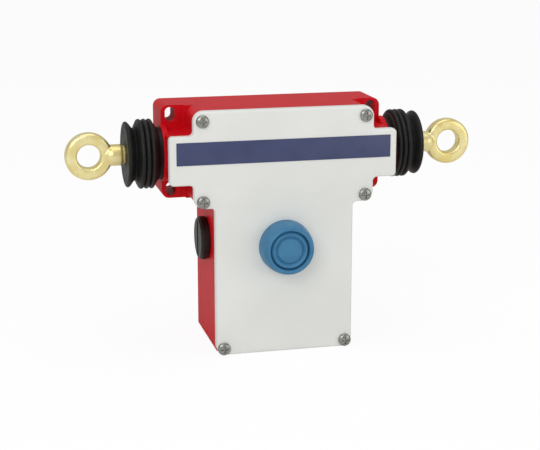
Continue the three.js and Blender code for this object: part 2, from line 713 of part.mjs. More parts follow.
for (const [side, sign] of SIDES) {
  add(ropeLine, `end_bush_${side}`, endBush(sign), "bronze");
  add(ropeLine, `bellows_${side}`, bellows(sign), "rubber");
  add(ropeLine, `eye_bolt_${side}`, eyeBolt(sign), "gold");
  const collarEnds = [sign * SHAFT_HALF, sign * (SHAFT_HALF + EYE_COLLAR_LENGTH)];
  const lockRing = ring("x", EYE_STUD_RADIUS + FIT, EYE_COLLAR_RADIUS, ...collarEnds);
  add(ropeLine, `eye_lock_ring_${side}`, lockRing, "gold");
  const cupSleeve = RETURN_COIL - RETURN_WIRE - FIT * 2.5;
  const cup = turnedAlong(
    sign,
    [
      [SHAFT_RADIUS + FIT, COLLAR_HALF],
      [RETURN_COIL + RETURN_WIRE, COLLAR_HALF],
      [RETURN_COIL + RETURN_WIRE, COLLAR_HALF + CUP_THICK],
      [cupSleeve, COLLAR_HALF + CUP_THICK],
      [cupSleeve, COLLAR_HALF + CUP_THICK + CUP_SLEEVE],
      [SHAFT_RADIUS + FIT, COLLAR_HALF + CUP_THICK + CUP_SLEEVE],
      [SHAFT_RADIUS + FIT, COLLAR_HALF],
    ],
    ROUND,
  );
  add(ropeLine, `spring_cup_${side}`, cup, "steel");
  const [from, to] = [COLLAR_HALF + CUP_THICK + FIT / 2, BUSH_INSIDE - FIT / 2];
  const line = new SpringLine("x", RETURN_COIL, RETURN_WIRE, RETURN_TURNS, sign * from, sign * to);
  add(ropeLine, `return_spring_${side}`, spring(line), "steel");
}

// Trip lever: an upper arm in the collar's groove, a lower arm further back in the slider.
const leverGroup = new THREE.Group();
leverGroup.position.set(0, 0, LEVER_Z);
part.add(leverGroup);

function leverArm(direction, front, back) {
  const tip = direction * LEVER_ARM;
  const [low, high] = [Math.min(0, tip), Math.max(0, tip)];
  const web = block([-LEVER_ARM_HALF, front, low], [LEVER_ARM_HALF, back, high]);
  return join(web, rod("y", LOBE_RADIUS, front, back, [0, 0, tip]));
}

const upperArmFront = -ROPE_DEPTH - LEVER_PLATE / 2;
const lowerArmBack = -LEVER_REAR - FIT;
function tripLever() {
  const hub = rod("y", LEVER_HUB_RADIUS, upperArmFront, -LEVER_REAR);
  const upper = leverArm(1, upperArmFront, upperArmFront + LEVER_PLATE);
  const lower = leverArm(-1, lowerArmBack - LEVER_PLATE + REACH, lowerArmBack);
  const bore = rod("y", LEVER_PIN_RADIUS + FIT, -DEPTH, 0, [0, 0, 0], SMALL_ROUND);
  return cut(join(hub, upper, lower), bore);
}
add(leverGroup, "trip_lever", tripLever(), "steel");
const clipFront = upperArmFront - FIT - CLIP_THICK;
const leverPinEnds = [clipFront - REACH, -REAR_WALL - FIT];
const leverPin = rod("y", LEVER_PIN_RADIUS, ...leverPinEnds, [0, 0, 0], SMALL_ROUND);
add(leverGroup, "lever_pin", leverPin, "steel");
const leverClip = ring(
  "y",
  LEVER_PIN_RADIUS + FIT / 2,
  LEVER_PIN_RADIUS + CLIP_WIDTH,
  clipFront,
  clipFront + CLIP_THICK,
  [0, 0, 0],
  SMALL_ROUND,
);
add(leverGroup, "lever_clip", leverClip, "steel");

// Contact set: plate on the rear wall, two contact blocks, and the slider between them.
const sliderBottom = BLOCK_TOP + FIT;
function contactSlider() {
  const shape = rectangle(-SLIDER_HALF, SLIDER_HALF, sliderBottom, SLIDER_TOP, REACH);
  const plate = prism(shape, SLIDER_FRONT, SLIDER_BACK);
  const notchHalf = LOBE_RADIUS + LOBE_PLAY;
  const notchFloor = LEVER_Z - LEVER_ARM - LOBE_RADIUS - FIT * 2;
  const notch = block([-notchHalf, -DEPTH, notchFloor], [notchHalf, 0, SLIDER_TOP + REACH]);
  const slots = SIDES.map(([, sign]) => bridge(sign, FIT));
  return cut(plate, notch, ...slots);
}

function bridge(sign, grow) {
  const middle = (SLIDER_FRONT + SLIDER_BACK) / 2;
  const x = sign * BRIDGE_X;
  const low = grow ? sliderBottom - REACH : sliderBottom - BRIDGE_LENGTH;
  return block(
    [x - BRIDGE_HALF - grow, middle - BRIDGE_THICK / 2 - grow, low],
    [x + BRIDGE_HALF + grow, middle + BRIDGE_THICK / 2 + grow, sliderBottom + BRIDGE_ROOT],
  );
}

const terminalPoints = SIDES.flatMap(([side, sign]) =>
  TERMINAL_X.map((x, i) => ({ name: `terminal_screw_${side}_${i + 1}`, x: sign * x, side })),
);
const SMALL_SHANK = 6;

function contactBlock(side, sign) {
  const [a, b] = [sign * BLOCK_INSIDE, sign * BLOCK_OUTSIDE];
  const shape = rectangle(Math.min(a, b), Math.max(a, b), BLOCK_BOTTOM, BLOCK_TOP, REACH);
  const body = prism(shape, BLOCK_FRONT, PLATE_FRONT);
  const [c, d] = [sign * LIP_INSIDE, sign * BLOCK_OUTSIDE];
  const lipBack = SLIDER_FRONT - FIT;
  const lip = block(
    [Math.min(c, d), lipBack - LIP_THICK, BLOCK_TOP - REACH],
    [Math.max(c, d), lipBack, BLOCK_TOP + LIP_HEIGHT],
  );
  const middle = (SLIDER_FRONT + SLIDER_BACK) / 2;
  const reach = BRIDGE_HALF + TRAVEL + REACH / 2;
  const pocketHalf = BRIDGE_THICK / 2 + REACH * 2;
  const pocket = block(
    [sign * BRIDGE_X - reach, middle - pocketHalf, sliderBottom - BRIDGE_LENGTH - REACH],
    [sign * BRIDGE_X + reach, middle + pocketHalf, BLOCK_TOP + REACH / 4],
  );
  const terminals = terminalPoints
    .filter((point) => point.side === side)
    .map(({ x }) => smallHole(x, TERMINAL_Z));
  const bracketHole = smallHole(sign * BRACKET_SCREW_X, BRACKET_SCREW_Z);
  return cut(join(body, lip), pocket, ...terminals, bracketHole);
}

function smallHole(x, z) {
  const [front, back] = [BLOCK_FRONT - REACH, BLOCK_FRONT + SMALL_SHANK + REACH];
  return rod("y", SMALL_SCREW_RADIUS + FIT, front, back, [x, 0, z], SMALL_ROUND);
}

const smallScrew = (x, z, seat, length) =>
  screw(x, z, seat, SMALL_SCREW_RADIUS, SMALL_HEAD_RADIUS, SMALL_HEAD_HEIGHT, length);

function mountingPlate() {
  const shape = rectangle(-PLATE_HALF, PLATE_HALF, PLATE_BOTTOM, PLATE_TOP, PLATE_CORNER);
  const holes = frontHoles(plateScrewPoints(), SMALL_SCREW_RADIUS + FIT, -DEPTH, 0);
  return cut(prism(shape, PLATE_FRONT, -REAR_WALL), ...holes);
}

add(part, "mounting_plate", mountingPlate(), "zinc");
for (const { name, x, z } of plateScrewPoints()) {
  add(part, name, smallScrew(x, z, PLATE_FRONT, PLATE_THICK + REAR_WALL / 2), "zinc");
}
add(part, "contact_slider", contactSlider(), "ivory");
for (const [side, sign] of SIDES) {
  add(part, `contact_bridge_${side}`, bridge(sign, 0), "brass");
  add(part, `contact_block_${side}`, contactBlock(side, sign), "black");
}
for (const { name, x } of terminalPoints) {
  add(part, name, smallScrew(x, TERMINAL_Z, BLOCK_FRONT, SMALL_SHANK), "brass");
}

// Latch: a bracket on the contact blocks carries the pawl that the reset plunger tips.
const bracketFront = BLOCK_FRONT - BRACKET_THICK;
const pawlAt = [0, PAWL_PIVOT_Y, PAWL_PIVOT_Z];
const earInside = PAWL_HALF + FIT;
const earOutside = earInside + BRACKET_THICK;

function latchBracket() {
  const shape = rectangle(-BRACKET_HALF, BRACKET_HALF, BRACKET_BOTTOM, BRACKET_TOP, REACH);
  const plate = prism(shape, bracketFront, BLOCK_FRONT);
  const ears = SIDES.map(([, sign]) => {
    const [a, b] = [sign * earInside, sign * earOutside];
    return block(
      [Math.min(a, b), bracketFront, BRACKET_TOP - BRACKET_EAR_DROP],
      [Math.max(a, b), BLOCK_FRONT + BRACKET_EAR_REACH, BRACKET_TOP],
    );
  });
  const pinHole = rod("x", PAWL_PIN_RADIUS + FIT, -DEPTH, DEPTH, pawlAt, SMALL_ROUND);
  const holes = SIDES.map(([, sign]) => smallHole(sign * BRACKET_SCREW_X, BRACKET_SCREW_Z));
  const deep = holes.map((hole) => hole.translate([0, -BRACKET_THICK, 0]));
  return cut(join(plate, ...ears), pinHole, ...deep);
}

function latchPawl() {
  const face = -PAWL_FACE;
  const back = face + PAWL_THICK;
  const nose = SLIDER_FRONT - FIT - PAWL_PIVOT_Y - REACH / 2;
  const shape = new THREE.Shape([
    [face, PAWL_ARM + PLUNGER_TIP_RADIUS],
    [face, -PAWL_DROP],
    [nose, -PAWL_DROP],
    [nose, -PAWL_DROP + PAWL_THICK / 2],
    [back, -PAWL_DROP + PAWL_THICK],
    [back, PAWL_ARM + PLUNGER_TIP_RADIUS],
  ].map(([y, z]) => new THREE.Vector2(y, z)));
  const profile = sidePrism(shape, -PAWL_HALF, PAWL_HALF);
  const hub = rod("x", PAWL_HUB_RADIUS, -PAWL_HALF, PAWL_HALF, [0, 0, 0], SMALL_ROUND);
  const bore = rod("x", PAWL_PIN_RADIUS + FIT, -DEPTH, DEPTH, [0, 0, 0], SMALL_ROUND);
  return cut(join(profile, hub), bore);
}

add(part, "latch_bracket", latchBracket(), "zinc");
for (const [side, sign] of SIDES) {
  const made = smallScrew(sign * BRACKET_SCREW_X, BRACKET_SCREW_Z, bracketFront, SMALL_SHANK);
  add(part, `bracket_screw_${side}`, made, "zinc");
}
const latchGroup = new THREE.Group();
latchGroup.position.set(...pawlAt);
part.add(latchGroup);
add(latchGroup, "latch_pawl", latchPawl(), "steel");
const pawlPinHalf = earOutside + REACH / 2;
const pawlPin = rod("x", PAWL_PIN_RADIUS, -pawlPinHalf, pawlPinHalf, [0, 0, 0], SMALL_ROUND);
add(latchGroup, "pawl_pin", pawlPin, "steel");

// Reset button: a fixed rubber skirt, a threaded bush with its nut, and the moving cap.
const resetGroup = new THREE.Group();
resetGroup.position.set(0, 0, RESET_Z);
part.add(resetGroup);

function resetBoot() {
  const front = COVER_FRONT - BOOT_HEIGHT;
  const inside = RESET_BUSH_FLANGE + FIT;
  const shoulder = RESET_BUSH_FRONT - FIT;
  return turned("y", [
    [inside, COVER_FRONT],
    [BOOT_BASE_RADIUS, COVER_FRONT],
    [BOOT_BASE_RADIUS - REACH * 0.3, COVER_FRONT - BOOT_HEIGHT * 0.35],
    [BOOT_FRONT_RADIUS + REACH * 0.5, front + BOOT_HEIGHT * 0.22],
    [BOOT_FRONT_RADIUS - REACH * 0.3, front + BOOT_HEIGHT * 0.06],
    [BOOT_FRONT_RADIUS - REACH, front],
    [BOOT_MOUTH_RADIUS + REACH * 0.5, front],
    [BOOT_MOUTH_RADIUS, front + REACH * 0.5],
    [BOOT_MOUTH_RADIUS, shoulder],
    [inside, shoulder],
    [inside, COVER_FRONT],
  ], [0, 0, 0], FINE_ROUND);
}

function resetBush() {
  const ledge = RESET_BUSH_BACK - RESET_LEDGE;
  const bore = PLUNGER_RADIUS + FIT;
  return turned("y", [
    [RESET_BUSH_BORE, RESET_BUSH_FRONT],
    [RESET_BUSH_FLANGE, RESET_BUSH_FRONT],
    [RESET_BUSH_FLANGE, COVER_FRONT],
    [RESET_BUSH_RADIUS, COVER_FRONT],
    [RESET_BUSH_RADIUS, RESET_BUSH_BACK],
    [bore, RESET_BUSH_BACK],
    [bore, ledge],
    [RESET_BUSH_BORE, ledge],
    [RESET_BUSH_BORE, RESET_BUSH_FRONT],
  ]);
}

function resetCap() {
  const groove = CAP_RING_GROOVE;
  return turned("y", [
    [0, CAP_FRONT + CAP_SINK],
    [CAP_RING_RADIUS - groove, CAP_FRONT + CAP_SINK],
    [CAP_RING_RADIUS - groove / 2, CAP_FRONT + CAP_SINK + groove],
    [CAP_RING_RADIUS, CAP_FRONT + CAP_SINK + groove],
    [CAP_RING_RADIUS + groove, CAP_FRONT],
    [CAP_RADIUS - groove / 2, CAP_FRONT],
    [CAP_RADIUS, CAP_FRONT + groove],
    [CAP_RADIUS, CAP_BACK],
    [0, CAP_BACK],
  ], [0, 0, 0], FINE_ROUND);
}

const clipSeat = RESET_BUSH_BACK + FIT;
function resetPlunger() {
  const tip = PLUNGER_TIP_RADIUS;
  const centre = PLUNGER_TIP_Y - tip;
  const dome = [0, 1, 2].map((i) => (i * Math.PI) / 6);
  return turned("y", [
    [0, CAP_BACK],
    [PLUNGER_RADIUS, CAP_BACK],
    [PLUNGER_RADIUS, clipSeat],
    [tip, clipSeat],
    ...dome.map((angle) => [tip * Math.cos(angle), centre + tip * Math.sin(angle)]),
    [0, PLUNGER_TIP_Y],
  ]);
}

add(resetGroup, "reset_boot", resetBoot(), "blue");
add(resetGroup, "reset_bush", resetBush(), "zinc");
const resetNut = ring(
  "y",
  RESET_BUSH_RADIUS + FIT,
  RESET_NUT_RADIUS,
  COVER_SKIN_BACK,
  COVER_SKIN_BACK + RESET_NUT_THICK,
);
const hexagon = rod("y", RESET_NUT_RADIUS, -DEPTH, 0, [0, 0, 0], 6);
add(resetGroup, "reset_nut", resetNut.intersect(hexagon), "zinc");
add(resetGroup, "reset_cap", resetCap(), "blue");
add(resetGroup, "reset_plunger", resetPlunger(), "ivory");
const resetClip = ring(
  "y",
  PLUNGER_TIP_RADIUS + FIT,
  PLUNGER_RADIUS + CLIP_WIDTH,
  clipSeat,
  clipSeat + CLIP_THICK,
);
add(resetGroup, "reset_clip", resetClip, "steel");
const resetLine = new SpringLine(
  "y",
  RESET_COIL,
  RESET_WIRE,
  RESET_TURNS,
  CAP_BACK + FIT / 2,
  RESET_BUSH_BACK - RESET_LEDGE - FIT / 2,
);
add(resetGroup, "reset_spring", spring(resetLine), "steel");

// Blanking plugs with their flat seals, screwed into the cable entries.
const entryLine = new THREE.Group();
entryLine.position.set(0, -ENTRY_DEPTH, ENTRY_Z);
part.add(entryLine);

function blankingPlug(sign) {
  const seat = STEM_WALL_X + SEAL_THICK;
  const end = seat + PLUG_HEAD_THICK;
  const inside = STEM_WALL_X - WALL - ENTRY_BOSS_LENGTH;
  const profile = [
    [0, inside],
    [PLUG_THREAD_RADIUS - REACH, inside],
    [PLUG_THREAD_RADIUS, inside + REACH],
    [PLUG_THREAD_RADIUS, seat],
    [PLUG_HEAD_RADIUS, seat],
    [PLUG_HEAD_RADIUS, end - PLUG_BEVEL],
    [PLUG_HEAD_RADIUS - PLUG_BEVEL, end],
    [0, end],
  ];
  const body = turnedAlong(sign, profile);
  const [a, b] = [sign * (end - PLUG_SLOT_DEPTH), sign * (end + REACH)];
  const half = PLUG_SLOT_WIDTH / 2;
  const long = PLUG_HEAD_RADIUS - PLUG_BEVEL * 2;
  const slot = block([Math.min(a, b), -half, -long], [Math.max(a, b), half, long]);
  return cut(body, slot);
}

for (const [side, sign] of SIDES) {
  add(entryLine, `blanking_plug_${side}`, blankingPlug(sign), "black");
  const sealEnds = [sign * STEM_WALL_X, sign * (STEM_WALL_X + SEAL_THICK)];
  const seal = ring("x", PLUG_THREAD_RADIUS + FIT, PLUG_HEAD_RADIUS - SEAL_INSET, ...sealEnds);
  add(entryLine, `plug_seal_${side}`, seal, "rubber");
}

export default part;
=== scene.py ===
# %% [markdown]
# A rope pull switch, dressed for a studio picture.
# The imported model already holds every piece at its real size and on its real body, so this script
# only adds looks: fine surfaces for what shows, and a finish for everything. The first step loads
# that model and keeps its box, which the finished picture may not outgrow.

# %% Load the frame
import json
import math

import bmesh
import bpy
from mathutils import Matrix, Vector


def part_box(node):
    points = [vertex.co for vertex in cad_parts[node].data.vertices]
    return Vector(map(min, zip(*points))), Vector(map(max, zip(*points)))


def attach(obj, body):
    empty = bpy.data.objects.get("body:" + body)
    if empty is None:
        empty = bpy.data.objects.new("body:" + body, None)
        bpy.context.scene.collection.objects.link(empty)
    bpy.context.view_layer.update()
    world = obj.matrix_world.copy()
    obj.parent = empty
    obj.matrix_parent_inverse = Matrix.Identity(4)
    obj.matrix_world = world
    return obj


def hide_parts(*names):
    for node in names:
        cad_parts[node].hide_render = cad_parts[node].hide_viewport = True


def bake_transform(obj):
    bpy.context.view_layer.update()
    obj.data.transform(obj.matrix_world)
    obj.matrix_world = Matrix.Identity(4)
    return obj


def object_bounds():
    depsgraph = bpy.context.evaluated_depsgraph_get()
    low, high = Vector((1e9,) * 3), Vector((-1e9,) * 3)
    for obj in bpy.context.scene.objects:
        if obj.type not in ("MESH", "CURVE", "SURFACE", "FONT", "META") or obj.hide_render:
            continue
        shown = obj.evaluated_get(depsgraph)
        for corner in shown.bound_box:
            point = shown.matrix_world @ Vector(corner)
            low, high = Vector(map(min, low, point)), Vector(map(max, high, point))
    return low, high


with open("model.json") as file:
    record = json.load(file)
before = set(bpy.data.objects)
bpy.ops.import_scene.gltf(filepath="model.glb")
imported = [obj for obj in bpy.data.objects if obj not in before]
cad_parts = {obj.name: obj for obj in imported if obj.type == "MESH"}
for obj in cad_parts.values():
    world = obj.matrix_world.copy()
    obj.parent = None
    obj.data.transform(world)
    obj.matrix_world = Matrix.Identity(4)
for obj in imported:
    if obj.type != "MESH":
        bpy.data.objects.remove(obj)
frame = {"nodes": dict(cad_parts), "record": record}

CAD_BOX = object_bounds()
MM = 0.001

# %% [markdown]
# The photograph was taken from the left and a little above with a long lens. Matching the straight
# edges of the body gave the camera's place, the point it looks at and its lens. The picture is
# wider than high, so the sensor is fitted across, and no shift is needed.

# %% Camera
CAMERA_AT = Vector((-192.0, -812.1, 149.4)) * MM
CAMERA_AIM = Vector((-8.88, -60.0, -38.68)) * MM
CAMERA_LENS = 93.39
SENSOR_WIDTH = 36

camera = bpy.data.objects.new("camera", bpy.data.cameras.new("camera"))
bpy.context.scene.collection.objects.link(camera)
camera.location = CAMERA_AT
camera.rotation_euler = (CAMERA_AIM - CAMERA_AT).to_track_quat("-Z", "Y").to_euler()
camera.data.lens = CAMERA_LENS
camera.data.sensor_width = SENSOR_WIDTH
camera.data.sensor_fit = "HORIZONTAL"
bpy.context.scene.camera = camera
print("camera is", round((CAMERA_AIM - CAMERA_AT).length, 3), "m away")

# %% [markdown]
# A catalogue picture has big soft lights and a white ground. Three area lamps do the work: a large
# one high on the left, a weaker one on the right, and one overhead that brightens the top of the
# casting. Their sum with the world is close to one, so a colour renders about as it is written.

# %% Lights
LAMPS = {
    "key": ((-0.75, -1.15, 0.75), 0.9, 7.0),
    "fill": ((0.95, -1.0, 0.15), 0.9, 3.0),
    "overhead": ((0.05, -0.15, 1.1), 0.8, 2.6),
}

for lamp_name, (spot, size, watts) in LAMPS.items():
    lamp = bpy.data.objects.new(lamp_name, bpy.data.lights.new(lamp_name, "AREA"))
    bpy.context.scene.collection.objects.link(lamp)
    lamp.location = spot
    lamp.rotation_euler = (-Vector(spot)).to_track_quat("-Z", "Y").to_euler()
    lamp.data.size = size
    lamp.data.energy = watts
print("lamps:", ", ".join(LAMPS))

# %% [markdown]
# The world is a dim grey light for the object, and plain white for whoever looks at it. The light
# path tells a camera ray and a glass ray, which see white, from every other ray. A mirror ray sees
# the dim grey too, because white that is mirrored at a flat angle would wash out the red paint.

# %% World
WORLD_LEVEL = 0.5

world = bpy.data.worlds.new("studio")
bpy.context.scene.world = world
world.use_nodes = True
world_nodes = world.node_tree.nodes
world_links = world.node_tree.links
background = world_nodes["Background"]
background.inputs["Color"].default_value = (1, 1, 1, 1)
ray = world_nodes.new("ShaderNodeLightPath")
seen = world_nodes.new("ShaderNodeMath")
seen.operation = "MAXIMUM"
level = world_nodes.new("ShaderNodeMath")
level.operation = "MAXIMUM"
level.inputs[1].default_value = WORLD_LEVEL
world_links.new(ray.outputs["Is Camera Ray"], seen.inputs[0])
world_links.new(ray.outputs["Is Transmission Ray"], seen.inputs[1])
world_links.new(seen.outputs[0], level.inputs[0])
world_links.new(level.outputs[0], background.inputs["Strength"])
bpy.context.scene.view_settings.view_transform = "Standard"
print("world level", WORLD_LEVEL)

# %% [markdown]
# The floor is one large sheet under the stem's foot. Seen by the camera it glows almost white, with
# enough plain diffuse left in it to hold a soft shadow.

# %% Floor
FLOOR_SIZE = 6.0
FLOOR_WHITE = 0.9
GLOW_SHARE = 0.9
GLOW_STRENGTH = 1.02

floor_bm = bmesh.new()
bmesh.ops.create_grid(floor_bm, x_segments=1, y_segments=1, size=FLOOR_SIZE / 2)
bmesh.ops.translate(floor_bm, verts=floor_bm.verts, vec=(0, 0, CAD_BOX[0][2]))
floor_mesh = bpy.data.meshes.new("floor")
floor_bm.to_mesh(floor_mesh)
floor_bm.free()
floor = bpy.data.objects.new("floor", floor_mesh)
bpy.context.scene.collection.objects.link(floor)
floor_look = bpy.data.materials.new("floor_white")
floor_look.use_nodes = True
floor_nodes = floor_look.node_tree.nodes
floor_links = floor_look.node_tree.links
floor_nodes.clear()
matt = floor_nodes.new("ShaderNodeBsdfDiffuse")
matt.inputs["Color"].default_value = (FLOOR_WHITE, FLOOR_WHITE, FLOOR_WHITE, 1)
glow = floor_nodes.new("ShaderNodeEmission")
glow.inputs["Strength"].default_value = GLOW_STRENGTH
floor_ray = floor_nodes.new("ShaderNodeLightPath")
floor_share = floor_nodes.new("ShaderNodeMath")
floor_share.operation = "MULTIPLY"
floor_share.inputs[1].default_value = GLOW_SHARE
floor_mix = floor_nodes.new("ShaderNodeMixShader")
floor_out = floor_nodes.new("ShaderNodeOutputMaterial")
floor_links.new(floor_ray.outputs["Is Camera Ray"], floor_share.inputs[0])
floor_links.new(floor_share.outputs[0], floor_mix.inputs["Fac"])
floor_links.new(matt.outputs[0], floor_mix.inputs[1])
floor_links.new(glow.outputs[0], floor_mix.inputs[2])
floor_links.new(floor_mix.outputs[0], floor_out.inputs["Surface"])
floor_mesh.materials.append(floor_look)
print("floor at", round(CAD_BOX[0][2] / MM, 1), "mm")

# %% [markdown]
# Every finish starts from the Principled shader. Colours are written as a screen shows them and
# turned into the linear values that a shader wants. Values that are the same all over sit on the
# shader's own sockets.

# %% Finish helper
def linear(red, green, blue):
    """A screen colour of 0 to 255 as the shader's linear colour."""
    shares = [value / 255 for value in (red, green, blue)]
    return [c / 12.92 if c <= 0.04045 else ((c + 0.055) / 1.055) ** 2.4 for c in shares] + [1.0]


def finish(name, roughness, metallic=0.0, **sockets):
    """A Principled material with plain values on its own sockets."""
    material = bpy.data.materials.new(name)
    material.use_nodes = True
    shader = material.node_tree.nodes["Principled BSDF"]
    shader.inputs["Roughness"].default_value = roughness
    shader.inputs["Metallic"].default_value = metallic
    for socket, value in sockets.items():
        shader.inputs[socket.replace("_", " ")].default_value = value
    return material


def noise(material, scale, detail=3.0, stretch=(1, 1, 1)):
    """A noise on Object coordinates, in cycles per metre; stretch draws it out along an axis."""
    nodes, links = material.node_tree.nodes, material.node_tree.links
    coordinates = nodes.new("ShaderNodeTexCoord")
    mapping = nodes.new("ShaderNodeMapping")
    mapping.inputs["Scale"].default_value = stretch
    texture = nodes.new("ShaderNodeTexNoise")
    texture.inputs["Scale"].default_value = scale
    texture.inputs["Detail"].default_value = detail
    links.new(coordinates.outputs["Object"], mapping.inputs["Vector"])
    links.new(mapping.outputs["Vector"], texture.inputs["Vector"])
    return texture.outputs["Fac"]


print("a screen grey of 128 is", round(linear(128, 128, 128)[0], 3), "to the shader")

# %% [markdown]
# Two helpers make a finish look real. One lets the colour drift between two close tints, as paint
# and rubber do. The other raises a fine grain with a bump, at its real size, and lets the gloss
# vary with it a little.

# %% Tint and grain helpers
TINT_SPREAD = (0.32, 0.68)
GLOSS_SPREAD = (0.3, 0.7)


def tint(material, dark, light, source):
    """The base colour drifts from dark to light with the source."""
    nodes, links = material.node_tree.nodes, material.node_tree.links
    ramp = nodes.new("ShaderNodeValToRGB")
    for stop, position, colour in zip(ramp.color_ramp.elements, TINT_SPREAD, (dark, light)):
        stop.position = position
        stop.color = linear(*colour)
    links.new(source, ramp.inputs["Fac"])
    links.new(ramp.outputs["Color"], nodes["Principled BSDF"].inputs["Base Color"])


def grain(material, source, height, strength=1.0):
    """A bump of that height in millimetres, driven by the source."""
    nodes, links = material.node_tree.nodes, material.node_tree.links
    bump = nodes.new("ShaderNodeBump")
    bump.inputs["Distance"].default_value = height * MM
    bump.inputs["Strength"].default_value = strength
    links.new(source, bump.inputs["Height"])
    links.new(bump.outputs["Normal"], nodes["Principled BSDF"].inputs["Normal"])


def gloss(material, source, low, high):
    """The roughness drifts from low to high with the source."""
    nodes, links = material.node_tree.nodes, material.node_tree.links
    spread = nodes.new("ShaderNodeMapRange")
    spread.inputs["From Min"].default_value = GLOSS_SPREAD[0]
    spread.inputs["From Max"].default_value = GLOSS_SPREAD[1]
    spread.inputs["To Min"].default_value = low
    spread.inputs["To Max"].default_value = high
    links.new(source, spread.inputs["Value"])
    links.new(spread.outputs["Result"], nodes["Principled BSDF"].inputs["Roughness"])


print("noise read between", TINT_SPREAD, "for tints and", GLOSS_SPREAD, "for gloss")

# %% [markdown]
# The body is die-cast and coated in a signal red. Powder coat flows into a soft orange peel with
# dimples about a millimetre wide. The cover has the same peel in a light warm grey, much finer.

# %% Paints
red_paint = finish("red_paint", 0.45, Specular_IOR_Level=0.1)
tint(red_paint, (204, 10, 24), (214, 16, 32), noise(red_paint, 60))
grain(red_paint, noise(red_paint, 900, 2.0), 0.05, 0.5)

cover_paint = finish("cover_paint", 0.4, Specular_IOR_Level=0.4)
tint(cover_paint, (228, 229, 224), (234, 235, 231), noise(cover_paint, 25))
grain(cover_paint, noise(cover_paint, 2200, 2.0), 0.02, 0.5)

navy_film = finish("navy_film", 0.38, Specular_IOR_Level=0.45)
tint(navy_film, (58, 65, 103), (64, 72, 110), noise(navy_film, 80))
grain(navy_film, noise(navy_film, 3000, 2.0), 0.01, 0.4)
print("paints:", red_paint.name, cover_paint.name, navy_film.name)

# %% [markdown]
# The rubbers: black bellows with a faint bloom, a blue silicone button and a plain black gasket.
# The blanking plugs are a black moulded plastic, a touch shinier and browner than the rubber.

# %% Rubbers and plastics
black_rubber = finish("black_rubber", 0.5, Specular_IOR_Level=0.3)
tint(black_rubber, (17, 17, 16), (26, 26, 25), noise(black_rubber, 140))
grain(black_rubber, noise(black_rubber, 1800, 3.0), 0.03, 0.5)
gloss(black_rubber, noise(black_rubber, 220), 0.42, 0.58)

blue_rubber = finish("blue_rubber", 0.5, Specular_IOR_Level=0.4)
tint(blue_rubber, (54, 116, 156), (64, 127, 166), noise(blue_rubber, 110))
grain(blue_rubber, noise(blue_rubber, 1600, 2.0), 0.02, 0.5)

black_plastic = finish("black_plastic", 0.42, Specular_IOR_Level=0.3)
tint(black_plastic, (20, 17, 14), (30, 26, 21), noise(black_plastic, 160))
grain(black_plastic, noise(black_plastic, 2400, 2.0), 0.02, 0.5)

ivory_plastic = finish("ivory_plastic", 0.45)
tint(ivory_plastic, (208, 202, 184), (222, 216, 200), noise(ivory_plastic, 120))
grain(ivory_plastic, noise(ivory_plastic, 2000, 2.0), 0.02, 0.4)

gasket_rubber = finish("gasket_rubber", 0.7)
tint(gasket_rubber, (62, 61, 60), (78, 77, 75), noise(gasket_rubber, 200))
grain(gasket_rubber, noise(gasket_rubber, 2600, 2.0), 0.03, 0.6)
print("rubbers:", black_rubber.name, blue_rubber.name, gasket_rubber.name)

# %% [markdown]
# The metals. Forged eyes are zinc plated and passivated yellow, so their colour drifts between
# straw and a paler yellow. Screws are bright zinc. Turned steel shows fine lines round its axis,
# here along X, so the noise is squeezed hard that way.

# %% Metals
yellow_zinc = finish("yellow_zinc", 0.34, 0.7, Specular_IOR_Level=0.5)
tint(yellow_zinc, (240, 220, 142), (252, 240, 180), noise(yellow_zinc, 130))
grain(yellow_zinc, noise(yellow_zinc, 900, 2.0), 0.015, 0.3)
gloss(yellow_zinc, noise(yellow_zinc, 260), 0.26, 0.42)

bright_zinc = finish("bright_zinc", 0.28, 1.0)
tint(bright_zinc, (140, 140, 134), (172, 172, 166), noise(bright_zinc, 400))
grain(bright_zinc, noise(bright_zinc, 2600, 3.0), 0.02, 0.6)

turned_steel = finish("turned_steel", 0.28, 1.0)
tint(turned_steel, (160, 161, 162), (178, 179, 180), noise(turned_steel, 90))
grain(turned_steel, noise(turned_steel, 300, 2.0, (12, 1, 1)), 0.01, 0.6)

bearing_bronze = finish("bearing_bronze", 0.4, 0.9)
tint(bearing_bronze, (164, 122, 70), (184, 142, 88), noise(bearing_bronze, 300))
grain(bearing_bronze, noise(bearing_bronze, 1500, 3.0), 0.03, 0.6)

contact_brass = finish("contact_brass", 0.3, 0.95)
tint(contact_brass, (196, 162, 88), (212, 180, 104), noise(contact_brass, 260))
grain(contact_brass, noise(contact_brass, 1800, 2.0), 0.02, 0.5)
print("metals:", yellow_zinc.name, bright_zinc.name, turned_steel.name)

# %% [markdown]
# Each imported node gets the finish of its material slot. Nodes that show, and that need a finer
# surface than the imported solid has, are replaced one by one further down.

# %% Finish every node
SLOT_LOOKS = {
    "red_paint": red_paint,
    "cover_metal": cover_paint,
    "navy_inlay": navy_film,
    "zinc_steel": bright_zinc,
    "bright_steel": turned_steel,
    "black_rubber": black_rubber,
    "yellow_zinc": yellow_zinc,
    "bronze": bearing_bronze,
    "blue_rubber": blue_rubber,
    "black_plastic": black_plastic,
    "ivory_plastic": ivory_plastic,
    "contact_brass": contact_brass,
}

for row in frame["record"]["subparts"]:
    node = frame["nodes"][row["node"]]
    look = gasket_rubber if row["node"] == "cover_gasket" else SLOT_LOOKS[row["material_slot"]]
    node.data.materials.clear()
    node.data.materials.append(look)
print(len(frame["nodes"]), "nodes dressed")

# %% [markdown]
# Plates make up the casting and the cover. A plate is a face from a few corners that is extruded
# back, and then each upright edge is bevelled to its own radius. That keeps the list of corners
# short, and an arc stays an arc when a size changes. Every mesh is cleaned before it is used:
# points that meet are merged, and all faces are turned outwards.

